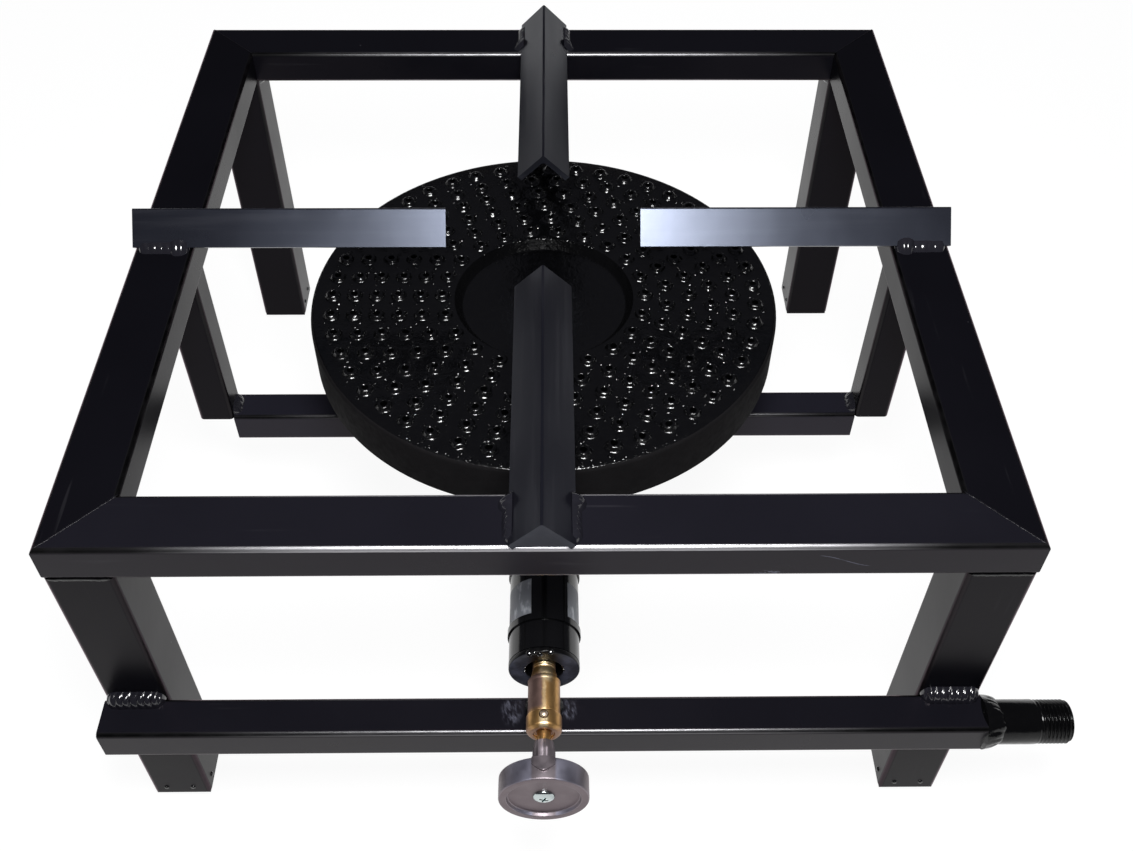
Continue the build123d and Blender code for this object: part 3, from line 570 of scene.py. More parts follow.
def turned_metal(name, base, roughness, axis, darkening=None, highlight=None):
    """Bare turned metal with fine tool rings; one mask turns it brown with painted shade, the other brightens
    it as a painted highlight.
    """
    looks = bpy.context.scene.stove_finishes
    metal = Finish(name)
    rings = metal.grain(1900.0, 2.0, [1.0 if part == axis else 0.04 for part in "XYZ"])
    cloud = metal.spread(metal.grain(170.0, 5.0), 0.42, 0.72)
    tone = metal.tint(cloud, base, times(base, 0.7))
    dull = metal.spread(cloud, 0.0, 1.0, roughness, roughness + 0.10)
    # Painted highlight: the masked places are brightened.
    if highlight:
        tone = metal.tint(highlight(metal), tone, looks.brass_highlight)
    # Darkened towards brown where the mask says: on the valve, brown on the left and painted shade where it
    # faces down.
    if darkening:
        overlay = darkening(metal)
        tone = metal.tint(overlay, tone, looks.brass_brown_and_shade)
        dull = metal.maths("ADD", dull, metal.maths("MULTIPLY", overlay, 0.15), clamp=True)
    metal.relief((rings, 0.25, 0.02 * MM), (metal.grain(600.0), 0.05, 0.1 * MM))
    return metal.done(Base_Color=tone, Metallic=1.0, Roughness=dull)


def barrel_brown_and_shade(metal):
    """Brown on the left of the barrel, and painted shade where the brass faces sideways or down."""
    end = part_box("gland_nut")[1].y
    x, y, _ = metal.parts()
    edge = metal.wander(300.0, 2.0 * MM)
    aside = metal.spread(metal.maths("ADD", x, edge), 0.2 * MM, -1.6 * MM)
    along = metal.between(metal.maths("ADD", y, edge), end + 0.5 * MM, end + 20.0 * MM, 2.2 * MM)
    low = metal.spread(metal.parts("Normal")[2], 0.70, 0.10, 0.0, 0.85)
    return metal.any_of(metal.all_of(aside, along), low)


def painted_brass_highlight(metal):
    """Painted highlight: a bright line along the top of the barrel, wider on the gland nut and the cone."""
    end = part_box("gland_nut")[1].y
    x, y, z = metal.parts()
    side = metal.maths("ADD", x, metal.wander(260.0, 3.0 * MM))
    line = metal.maths("MULTIPLY", metal.between(side, -0.9 * MM, 0.9 * MM, 0.6 * MM), 0.55)
    nut = metal.all_of(metal.between(x, -2.0 * MM, 1.8 * MM, 0.8 * MM), metal.spread(y, end, end - 2.0 * MM))
    cone = metal.all_of(metal.between(side, -2.5 * MM, 4.0 * MM, 1.0 * MM),
                        metal.spread(y, end + 13.0 * MM, end + 17.0 * MM))
    return metal.all_of(metal.any_of(line, nut, cone), upper_half(metal, z))


def painted_neck_highlight(metal):
    """Painted highlight: two bright lines along the top of the knob's neck."""
    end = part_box("control_knob")[1].y
    x, y, z = metal.parts()
    broad = metal.all_of(metal.between(x, -2.6 * MM, -0.3 * MM, 0.35 * MM),
                         metal.between(y, end - 11.0 * MM, end + 1.0 * MM, 0.8 * MM))
    thin = metal.all_of(metal.between(x, 1.0 * MM, 1.6 * MM, 0.25 * MM),
                        metal.between(y, end - 13.0 * MM, end - 4.5 * MM, 0.8 * MM))
    return metal.all_of(metal.any_of(broad, thin), upper_half(metal, z))


def upper_half(metal, z):
    """1 above the valve's axis."""
    low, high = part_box("valve_spindle")
    return metal.maths("GREATER_THAN", z, (low.z + high.z) / 2 + 2.0 * MM)


def knob_metal(name, roughness):
    """Light alloy as cast: sandy skin and uneven tone, with painted light making it paler where it faces up,
    painted shade on its forward face and painted highlight lines along its neck.
    """
    looks = bpy.context.scene.stove_finishes
    metal = Finish(name)
    cloud = metal.grain(110.0, 5.0)
    tone = metal.tint(cloud, times(looks.knob, 0.78), times(looks.knob, 1.25))
    # Painted light: paler where the surface faces up, away from the neck, and painted shade on the face that
    # looks forward.
    facing = metal.parts("Normal")
    aside = metal.spread(metal.maths("ABSOLUTE", metal.parts()[0]), 4.5 * MM, 6.0 * MM)
    pale = metal.all_of(aside, metal.spread(facing[2], 0.35, 0.95, 0.0, 0.75))
    tone = metal.tint(pale, tone, looks.knob_top_light)
    tone = metal.tint(metal.spread(facing[1], -0.80, -0.98, 0.0, 0.75), tone, looks.knob_face_shade)
    # Painted highlight: two bright lines along the neck.
    tone = metal.tint(painted_neck_highlight(metal), tone, times(looks.knob, 3.3))
    dull = metal.spread(cloud, 0.3, 0.7, roughness - 0.06, roughness + 0.08)
    metal.relief((metal.grain(1300.0), 0.22, 0.10 * MM), (cloud, 0.12, 0.5 * MM))
    return metal.done(Base_Color=tone, Metallic=1.0, Roughness=dull)


def fibre(name):
    """Graphited packing cord."""
    cord = Finish(name)
    pale = bpy.context.scene.stove_finishes.packing
    strands = cord.grain(1600.0, 4.0)
    cord.relief((strands, 0.4, 0.2 * MM))
    return cord.done(Base_Color=cord.tint(strands, times(pale, 0.2), pale),
                     Roughness=cord.spread(strands, 0.3, 0.7, 0.55, 0.8))


def bead(corner, across, up, wide, tall, seed, ring=False, bulge=0.20, calm=1.0, lumpy=1.0):
    """Weld in a corner between two faces: corner holds its points, across and up the way along each face."""
    weld = bpy.context.scene.stove_welds
    total = [0.0]
    for first, second in zip(corner, corner[1:]):
        total.append(total[-1] + (second - first).length)
    run = total[-1]
    section = angles(pi / 2, 7)
    verts = []
    for point, side, rise, place in zip(corner, across, up, total):
        near = 1.0 if ring else min(1.0, min(place, run - place) / (0.8 * wide) + 0.02)
        shrink = sqrt(max(0.0, 1.0 - (1.0 - near) ** 2))
        for turn in section:
            middle = sin(2 * turn)
            phase = (place + 0.5 * weld.pitch * middle) / weld.pitch
            wave = 1.0 - weld.ripple * calm * middle * (1.0 - abs(sin(pi * phase))) ** 1.6
            sample = point / weld.leg + Vector((seed * 1.7, turn * 0.4, 0.0))
            rough = noise.noise(sample * 0.5) + 0.7 * noise.noise(sample * 1.1)
            uneven = 1.0 + weld.lumps * lumpy * (0.35 + 0.65 * middle) * rough
            reach = shrink * wave * uneven * (1.0 + bulge * middle) / (cos(turn) + sin(turn))
            verts.append(point + side * (wide * reach * cos(turn)) + rise * (tall * reach * sin(turn)))
        verts.append(point - (side * wide + rise * tall) * (0.15 * shrink))
    rows, columns = len(corner), len(section) + 1
    return verts, skin(rows, columns, ring) + ([] if ring else caps(rows, columns))


def straight_bead(start, end, across, up, seed, size=1.0, bulge=0.20, calm=0.5):
    """Fillet weld between two points."""
    leg = bpy.context.scene.stove_welds.leg * size
    start, end = Vector(start), Vector(end)
    count = max(8, ceil((end - start).length / (0.45 * MM)))
    points = [start.lerp(end, i / count) for i in range(count + 1)]
    return bead(points, [Vector(across)] * (count + 1), [Vector(up)] * (count + 1), leg, leg, seed,
                bulge=bulge, calm=calm)


def seam(start, end, normal, width, height, seed):
    """Low, slightly wandering weld line on a face, its foot just under the face."""
    start, end, normal = Vector(start), Vector(end), Vector(normal)
    side = normal.cross((end - start).normalized())
    count = max(6, ceil((end - start).length / (0.6 * MM)))
    section = angles(pi, 6)
    verts = []
    for i in range(count + 1):
        place = i / count
        shift = noise.noise(Vector((place * 9.0, seed * 3.7, 0.0))) * 0.22 * width
        swell = 1.0 + 0.45 * noise.noise(Vector((place * 31.0, seed * 5.1, 2.0)))
        tail = min(1.0, min(place, 1.0 - place) * count / 3.0 + 0.05)
        for turn in section:
            verts.append(start.lerp(end, place) + side * (shift + cos(turn) * width / 2 * swell * tail)
                         + normal * (sin(turn) * height * swell * tail - 0.02 * MM))
    rows, columns = count + 1, len(section)
    return verts, skin(rows, columns) + caps(rows, columns)


def drop(point, normal, radius, height, rows=5, sides=14):
    """Small rounded bead of weld or paint on a face, its foot just under the face."""
    point, normal = Vector(point), Vector(normal)
    side = normal.orthogonal().normalized()
    other = normal.cross(side)
    verts = []
    for i, rise in enumerate(angles(pi / 2, rows)):
        sunk = 0.0 if i else 0.05 * MM
        for turn in turns(sides):
            uneven = 1.0 + 0.14 * noise.noise(point * 900.0 + Vector((cos(turn), sin(turn), i)))
            verts.append(point + (side * cos(turn) + other * sin(turn)) * (radius * cos(rise) * uneven)
                         + normal * (height * sin(rise) - sunk))
    return verts, skin(rows + 1, sides) + [tuple(range(sides))]


class STOVE_OT_stand(Operator):
    """Paint the rails, legs, feet, hangers, crossbar and pot supports"""

    bl_idname = "stove.stand"
    bl_label = "Finish the stand"

    def execute(self, context):
        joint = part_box("front_rail")[0].z
        looks = context.scene.stove_finishes
        rail, leg = looks.rail_shine, looks.leg_shine
        # depth is painted light: the front rail lighter, the side rails and legs darker, and the crossbar
        # three times lighter where the burner shades it; the front rail's edges get a stronger painted
        # highlight.
        dress(paint("front_rail_paint", ALONG_X, joint, rail, rail_scuffs, depth=1.4, edge_shine=3.0), "front_rail")
        dress(paint("back_rail_paint", ALONG_X, joint, leg), "back_rail")
        dress(paint("side_rail_paint", ALONG_Y, joint, leg, depth=0.7), "left_rail", "right_rail")
        dress(paint("leg_paint", ALONG_Z, joint, leg, depth=0.75), *LEGS, "left_hanger", "right_hanger")
        dress(paint("foot_paint", shine=leg), *FEET)
        dress(paint("crossbar_paint", ALONG_X, shine=rail, depth=3.0), "burner_crossbar")
        dress(paint("side_support_paint", ALONG_X), "left_pot_support", "right_pot_support")
        dress(paint("end_support_paint", ALONG_Y, dim=0.6), "front_pot_support", "back_pot_support")
        return {"FINISHED"}


class STOVE_OT_welds(Operator):
    """Lay the rippled beads of the legs, supports, cradle and manifold"""

    bl_idname = "stove.welds"
    bl_label = "Lay the weld beads"

    def execute(self, context):
        looks, weld = context.scene.stove_finishes, context.scene.stove_welds
        black = enamel("weld_enamel", 0.16, 0.08, gloss=0.04, shine=0.85, base=looks.weld)
        for name, runs in (("leg", self.leg_runs(weld)), ("support", self.support_runs()),
                           ("cradle", self.cradle_runs(weld)), ("manifold", self.manifold_runs())):
            piece(f"{name}_weld_beads", joined(*runs), black, "stand", [f"{name}_welds"], 60.0)
        dull = enamel("collar_enamel", 0.45, 0.15, shine=0.32)
        piece("inlet_weld_collar", self.collar(weld), dull, "stand", ["manifold_welds"], 60.0)
        return {"FINISHED"}

    def leg_runs(self, weld):
        """Two beads under the rails at the inner faces of each leg."""
        runs = []
        for leg in ("front_left_leg", "rear_left_leg", "front_right_leg", "rear_right_leg"):
            low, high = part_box(leg)
            middle = (low + high) / 2
            half = (high.x - low.x) / 2
            reach = half - weld.inset
            inward_x = RIGHT if middle.x < 0 else -RIGHT
            inward_y = BACK if middle.y < 0 else -BACK
            top = Vector((middle.x, middle.y, high.z))
            for inward, along in ((inward_y, RIGHT), (inward_x, BACK)):
                line = top + inward * half
                runs.append(straight_bead(line - along * reach, line + along * reach, inward, -UP, len(runs)))
        return runs

    def support_runs(self):
        """A bead along each toe of the pot supports, and a thicker one at its inner end."""
        runs = []
        for name, out in (("front", -BACK), ("right", RIGHT), ("back", BACK), ("left", -RIGHT)):
            low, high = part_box(f"{name}_pot_support")
            across = UP.cross(out)
            toe = (high - low).dot(Vector(map(abs, across))) / 2 - 1.6 * MM
            end = max(abs(low.dot(out)), abs(high.dot(out)))
            for sign in (-1, 1):
                line = across * (sign * toe) + UP * (low.z - 0.2 * MM)
                for inner, outer, seed, size in ((27.5, 2.5, 20, 0.95), (28.5, 18.0, 40, 1.35)):
                    start, stop = (line + out * (end - place * MM) for place in (inner, outer))
                    runs.append(straight_bead(start, stop, across * sign, UP, seed + len(runs), size))
        return runs

    def cradle_runs(self, weld):
        """Beads before and behind the top of each hanger, and on top of the crossbar's ends."""
        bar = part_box("burner_crossbar")[1].z
        runs = []
        for hanger, inward in (("left_hanger", RIGHT), ("right_hanger", -RIGHT)):
            low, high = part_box(hanger)
            x = (low.x + high.x) / 2
            reach = (high.x - low.x) / 2 - weld.inset
            face = high.x if inward.x > 0 else low.x
            for start, end, out, up in (
                ((x - reach, low.y, high.z), (x + reach, low.y, high.z), -BACK, -UP),
                ((x - reach, high.y, high.z), (x + reach, high.y, high.z), BACK, -UP),
                ((face, -reach, bar), (face, reach, bar), inward, UP),
            ):
                runs.append(straight_bead(start, end, out, up, 60 + len(runs)))
        return runs

    def manifold_runs(self):
        """Heaped bead where the manifold lies against each front leg."""
        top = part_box("gas_manifold")[1].z
        runs = []
        for leg, seed in (("front_left_leg", 79), ("front_right_leg", 81)):
            low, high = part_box(leg)
            runs.append(straight_bead((low.x + MM, low.y, top), (high.x - MM, low.y, top), -BACK, UP, seed,
                                      size=1.30, bulge=0.50, calm=1.0))
        return runs

    def collar(self, weld):
        """Ring of weld between the inlet plate and the nipple."""
        low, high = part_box("gas_inlet_nipple")
        centre = Vector((low.x, (low.y + high.y) / 2, (low.z + high.z) / 2))
        radius = (high.z - low.z) / 2 - 0.3 * MM
        spokes = [BACK * cos(turn) + UP * sin(turn) for turn in turns(160)]
        ring = [centre + spoke * radius for spoke in spokes]
        return bead(ring, spokes, [RIGHT] * len(ring), weld.collar_rise, weld.collar_reach, 91, ring=True,
                    bulge=0.30, calm=0.7, lumpy=2.2)


class STOVE_OT_seams(Operator):
    """Add the ground welds along the mitres, the leg joints on the front and the tacks of the feet"""

    bl_idname = "stove.seams"
    bl_label = "Add the seams and tacks"

    def execute(self, context):
        weld = context.scene.stove_welds
        low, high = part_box("front_rail")
        depth = high.y - low.y
        inset = 1.2 * MM
        lines = []
        for sx in (-1, 1):
            for sy in (-1, 1):
                outer = (sx * (high.x - inset), sy * (-low.y - inset), high.z)
                inner = (sx * (high.x - depth), sy * (-low.y - depth), high.z)
                lines.append(seam(outer, inner, UP, weld.seam_width, weld.seam_height, len(lines)))
        bright = paint("seam_paint", shine=context.scene.stove_finishes.rail_shine)
        piece("mitre_seams", joined(*lines), bright, "stand", crease=80.0)
        lines = []
        for leg in LEGS[:2]:
            leg_low, leg_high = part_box(leg)
            start, end = (leg_high.x - 1.5 * MM, low.y, low.z), (leg_low.x + 1.5 * MM, low.y, low.z)
            width, height = weld.seam_width * 1.7, weld.seam_height * 2.2
            lines.append(seam(start, end, -BACK, width, height, 9 + len(lines)))
        rough = enamel("seam_enamel", 0.35, 0.12)
        piece("leg_joint_seams", joined(*lines), rough, "stand", crease=80.0)
        smooth = enamel("tack_enamel", 0.2, 0.1)
        piece("foot_tacks", joined(*self.tacks(weld)), smooth, "stand", crease=70.0)
        return {"FINISHED"}

    def tacks(self, weld):
        """Two tacks on the inner face of each leg, and two on the front of the front legs."""
        spots = []
        for leg in LEGS:
            low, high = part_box(leg)
            middle = (low + high) / 2
            inner, facing = (high.x, RIGHT) if middle.x < 0 else (low.x, -RIGHT)
            height = low.z + weld.tack_height
            for shift in (-7.5 * MM, 6.5 * MM):
                if middle.y < 0:
                    spots.append(((middle.x + shift, low.y, height), -BACK))
                spots.append(((inner, middle.y + shift, height), facing))
        return [drop(place, facing, weld.tack, 0.6 * weld.tack) for place, facing in spots]


class STOVE_OT_burner_head(Operator):
    """Cast the burner head with its rings of raised ports"""

    bl_idname = "stove.burner_head"
    bl_label = "Cast the burner head"
    around = 144

    def execute(self, context):
        size, looks = context.scene.stove_burner, context.scene.stove_finishes
        low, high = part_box("burner_head")
        radius = (high.x - low.x) / 2
        top = high.z - size.nub_height
        rim = top - size.plate
        land = size.land_radius - size.land_slope
        ports = []
        for ring in range(size.rings):
            r = size.first_ring + ring * size.ring_pitch
            count = round(2 * pi * r / size.port_spacing)
            ports += [(r * cos(turn), r * sin(turn))
                      for turn in ((port + ring % 2 / 2) * 2 * pi / count for port in range(count))]
        parts = [
            self.plate(radius - size.edge, size.land_radius, ports, size.nub_radius, size.nub_sides, top),
            self.plate(radius - size.wall, size.land_radius, ports, size.port_radius, size.nub_sides, rim),
            *self.rims(size, radius, land, top, rim, low.z),
            *[self.nub(size, x, y, top, rim, number) for number, (x, y) in enumerate(ports)],
            *self.spatter(size, ports, top, radius),
        ]
        black = enamel("burner_enamel", 0.42, 0.75, shine=0.95, base=looks.burner_top)
        head = piece("burner_head_casting", joined(*parts), black, "stand", ["burner_head"],
                     44.0)
        wall = enamel("burner_wall_black", 0.30, 0.12, -0.50, looks.wall_shine, looks.wall)
        head.data.materials.append(wall)
        head.data.materials.append(enamel("burner_land_enamel", 0.9, 0.9, -0.05, 0.02))
        for polygon in head.data.polygons:
            out, sunk = polygon.center.xy.length, top - polygon.center.z
            if out > radius - 0.6 * size.edge:
                polygon.material_index = 1
            elif land < out < size.land_radius and sunk > 0.6 * MM:
                polygon.material_index = 2
        return {"FINISHED"}

    def plate(self, outer, inner, ports, hole_radius, sides, height):
        """Level face between two circles with a hole at each port."""
        points, edges = [], []
        loops = [((0, 0), outer, self.around), ((0, 0), inner, self.around)]
        for centre, radius, count in loops + [(port, hole_radius, sides) for port in ports]:
            start = len(points)
            points += circle(centre, radius, count)
            edges += [(start + i, start + (i + 1) % count) for i in range(count)]
        flat, _, triangles, *_ = delaunay_2d_cdt([Vector(p) / MM for p in points], edges, [], 0, 1e-5)
        kept = []
        for triangle in triangles:
            middle = sum((flat[i] for i in triangle), Vector((0, 0))) / len(triangle) * MM
            if middle.length < inner * 0.9996:
                continue
            if any((middle.x - x) ** 2 + (middle.y - y) ** 2 < (0.965 * hole_radius) ** 2 for x, y in ports):
                continue
            kept.append(tuple(triangle))
        if not kept:
            raise RuntimeError("the perforated plate came out empty")
        return [Vector((p.x * MM, p.y * MM, height)) for p in flat], kept

    def rims(self, size, radius, land, top, rim, foot):
        """Outer wall with its rounded edge, and the sunk middle with its bolt hole."""
        outside = [(radius - size.edge * (1 - sin(a)), top - size.edge * (1 - cos(a)))
                   for a in angles(pi / 2, 6)]
        outside += soften([(radius, top - size.edge), (radius, foot), (radius - size.wall, foot),
                           (radius - size.wall, rim)], 1.0 * MM)[1:]
        floor, hole = top - size.land_depth, size.bolt_hole
        inside = soften([(size.land_radius, rim), (land, floor - size.plate), (hole, floor - size.plate),
                         (hole, floor), (land, floor), (size.land_radius, top)], 1.2 * MM)
        return [lathe(profile, "Z", segments=self.around) for profile in (outside, inside)]

    def spatter(self, size, ports, top, radius):
        """Beads of paint: before and behind each port, and on the front edge and the land's back edge."""
        spots = []
        for number, (x, y) in enumerate(ports):
            for turn, swing, away in ((-pi / 2, 1.9, 6.4 * MM), (pi / 2, 2.9, 6.7 * MM)):
                aside = turn + 0.7 * sin(number * swing)
                spots.append((x + away * cos(aside), y + away * sin(aside),
                              1.25 + 0.40 * sin(number * 4.1 + turn)))
        for number in range(40):
            turn = radians(-125 + 1.7 * number + 0.5 * sin(number * 2.1))
            shift = 0.4 * MM * sin(number * 3.3)
            front, back = radius - 3.2 * MM + shift, size.land_radius + 1.0 * MM + shift
            spots.append((front * cos(turn), front * sin(turn), 1.15 + 0.35 * sin(number * 1.3)))
            turn += pi + radians(2.0)
            spots.append((back * cos(turn), back * sin(turn), 1.30 + 0.40 * cos(number * 1.3)))
        clear = size.nub_radius + 0.5 * MM
        kept = []
        for x, y, wide in spots:
            on_plate = size.land_radius + 0.5 * MM < sqrt(x * x + y * y) < radius - size.edge - 0.3 * MM
            if on_plate and all((x - px) ** 2 + (y - py) ** 2 > clear ** 2 for px, py in ports):
                kept.append(drop((x, y, top), UP, wide * MM, 0.36 * wide * MM, 4, 10))
        return kept

    def nub(self, size, x, y, top, rim, number):
        """One raised port, slightly uneven as cast."""
        foot, port, fillet, lip = size.nub_radius, size.port_radius, size.nub_fillet, size.nub_lip
        tall = size.nub_height * (0.89 + 0.11 * cos(number * 2.3))
        steep = radians(62)
        hollow = [(foot - fillet * sin(a), fillet * (1 - cos(a))) for a in angles(steep, 4)]
        start, level = hollow[-1]
        crown = start - (tall - lip * (1 - cos(steep)) - level) / tan(steep) - lip * sin(steep)
        dome = [(crown + lip * sin(a), tall - lip * (1 - cos(a))) for a in reversed(angles(steep, 4))]
        mouth = min(0.6 * MM, crown - port)
        inner = [(port + mouth * (1 - sin(a)), tall - mouth * (1 - cos(a))) for a in angles(pi / 2, 3)[1:]]
        profile = hollow + dome + inner + [(port, rim - top)]
        lean = 0.28 * MM * Vector((sin(number * 1.7), cos(number * 3.1)))
        verts = []
        for row, (radius, rise) in enumerate(profile):
            up = max(0.0, rise / tall)
            rough = 0.30 * MM * min(1.0, 2.5 * up)
            at_end = row in (0, len(profile) - 1)
            for px, py in circle((x + lean.x * up, y + lean.y * up), radius, size.nub_sides):
                place = Vector((px, py, 1.6 * rise)) * 520.0
                push = 1.0 if at_end else 1.0 + rough / radius * noise.noise(place)
                lift = rough * noise.noise(place + UP * 7.0) if rise > 0.0 else 0.0
                verts.append(Vector((x + (px - x) * push, y + (py - y) * push, top + rise + lift)))
        return verts, skin(len(profile), size.nub_sides)


class STOVE_OT_burner_fixings(Operator):
    """Finish the bowl and turn the washer, nut and bolt that hold the burner"""

    bl_idname = "stove.burner_fixings"
    bl_label = "Finish the burner's bowl and bolt"

    def execute(self, context):
        size = context.scene.stove_burner
        dress(enamel("bowl_enamel", 0.40, 0.14), "burner_bowl")
        steel = enamel("fixing_enamel", 0.12, 0.10)
        dress(steel, "burner_tie_bolt")
        low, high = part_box("burner_tie_washer")
        ring = soften([(size.bolt_hole, low.z), (high.x, low.z), (high.x, high.z), (size.bolt_hole, high.z)],
                      0.35 * MM, closed=True)
        piece("tie_washer", lathe(ring, "Z", closed=True, segments=56), steel, "stand",
              ["burner_tie_washer"])
        piece("tie_nut", self.nut(size.nut_bore), steel, "stand", ["burner_tie_nut"], 25.0)
        return {"FINISHED"}

    def nut(self, bore):
        """Six-sided nut with its corners turned off."""
        low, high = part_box("burner_tie_nut")
        flat = high.y
        verts, sides = [], 96
        for turn in turns(sides):
            reach = flat / cos((turn + pi / 6) % (pi / 3) - pi / 6)
            fall = max(0.0, reach - 0.97 * flat) * tan(radians(30))
            section = [(bore, low.z), (0.95 * flat, low.z), (reach, low.z + fall), (reach, high.z - fall),
                       (0.95 * flat, high.z), (bore + 0.55 * MM, high.z), (bore, high.z - 0.5 * MM)]
            verts += [Vector((r * cos(turn), r * sin(turn), z)) for r, z in section]
        return verts, skin(sides, len(section), closed=True)


class STOVE_OT_mixer(Operator):
    """Finish the mixer tube and its air shutter and shape the mouth plate"""

    bl_idname = "stove.mixer"
    bl_label = "Finish the mixer tube"

    def execute(self, context):
        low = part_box("air_shutter")[0]
        dress(tube_enamel("mixer_tube_enamel", (low.y + 3.0 * MM, low.y + 24.0 * MM)), "mixer_tube")
        dress(tube_enamel("air_shutter_enamel", None), "air_shutter")
        low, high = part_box("mixer_mouth_plate")
        axis = (0, 0, (low.z + high.z) / 2)
        hole, outer = context.scene.stove_valve.mouth, high.x
        section = soften([(hole, low.y + 0.3 * MM), (outer - 3.5 * MM, low.y), (outer, low.y + 0.2 * MM),
                          (outer, high.y), (hole, high.y)], 0.8 * MM, closed=True)
        points, faces = lathe(section, "Y", axis, 128, closed=True)
        ring = [self.lump(point, axis[2], outer) for point in points], faces
        facing = Vector((0, -0.45, 0.89))
        # Place right of and above the axis, and size, of each drop: four at the top edge and two on each
        # side of the hole.
        drops = ((-6.8, 14.8, 1.2), (-4.3, 15.6, 1.0), (-1.9, 15.0, 1.3), (3.2, 16.0, 1.1),
                 (-9.3, -0.5, 0.5), (-9.0, 2.2, 0.4), (9.3, 0.6, 0.5), (9.0, 3.2, 0.4))
        runs = [drop((x * MM, low.y + 0.4 * MM, axis[2] + z * MM), facing, 1.25 * r * MM, 0.5 * r * MM)
                for x, z, r in drops]
        piece("mouth_paint_runs", joined(*runs), enamel("run_enamel", 0.04, 0.04, 0.09, 0.9), "stand",
              crease=70.0)
        # The mouth's face gets a painted reflection: a pale sheen on both sides of the hole.
        piece("mixer_mouth", ring, enamel("mouth_enamel", 0.35, 0.16, -0.16, 0.22, overlay=painted_mouth_sheen), "stand",
              ["mixer_mouth_plate"], 50.0)
        return {"FINISHED"}

    def lump(self, point, axis_z, outer):
        """Point of the mouth, pushed about near its upper edge where paint has run over the weld."""
        arm = Vector((point.x, 0, point.z - axis_z))
        edge = max(0.0, (arm.length - outer) / (3.0 * MM) + 1.0)
        upper = max(0.0, arm.normalized().z - 0.86) / 0.14
        push = noise.noise(point * 520.0) * edge * upper
        return point + arm.normalized() * (0.7 * MM * push) - BACK * (0.5 * MM * abs(push))


class STOVE_OT_manifold(Operator):
    """Paint the manifold and cut the thread of its inlet nipple"""

    bl_idname = "stove.manifold"
    bl_label = "Finish the manifold and inlet"

    def execute(self, context):
        shine = context.scene.stove_finishes.rail_shine
        # depth paints the manifold lighter as painted light, and its edges get a weaker painted highlight.
        black = paint("manifold_paint", ALONG_X, shine=shine, scuffs=boss_scuffs, depth=1.3, edge_shine=0.85)
        dress(black, "gas_manifold", "manifold_end_plate", "manifold_inlet_plate")
        dress(enamel("boss_enamel", 0.2, 0.1), "valve_boss")
        nipple = self.nipple(context.scene.stove_inlet)
        piece("threaded_inlet", nipple, enamel("inlet_enamel", 0.12, 0.10, shine=0.22), "stand",
              ["gas_inlet_nipple"], 55.0)
        return {"FINISHED"}

    def nipple(self, size):
        """Pipe nipple: plain at its weld, then a thread that starts shallow and ends in a chamfer."""
        low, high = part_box("gas_inlet_nipple")
        centre = Vector((0, (low.y + high.y) / 2, (low.z + high.z) / 2))
        plain = (high.z - low.z) / 2
        start = low.x + size.plain
        count = ceil((high.x - start) / (size.pitch / 9))
        thread = [start + (high.x - start) * i / count for i in range(count + 1)]
        profile = [(size.bore, low.x), (plain, low.x), (plain, start - 0.6 * MM)]
        profile += [(None, x) for x in thread]
        profile += [(size.bore + 0.4 * MM, high.x), (size.bore, high.x - 0.5 * MM)]
        verts, sides = [], 80
        for radius, x in profile:
            for k, turn in enumerate(turns(sides)):
                reach = radius
                if radius is None:
                    wave = abs(2 * ((x / size.pitch - k / sides) % 1.0) - 1.0)
                    wave = wave * wave * (3 - 2 * wave)
                    cut = size.depth * min(1.0, max(0.25, (x - start) / (2 * size.pitch)))
                    chamfer = min(0.0, (high.x - x) - 1.4 * MM) * 0.55
                    reach = size.crest - cut * wave + chamfer
                verts.append(centre + RIGHT * x + BACK * (reach * cos(turn)) + UP * (reach * sin(turn)))
        return verts, skin(len(profile), sides, closed=True)


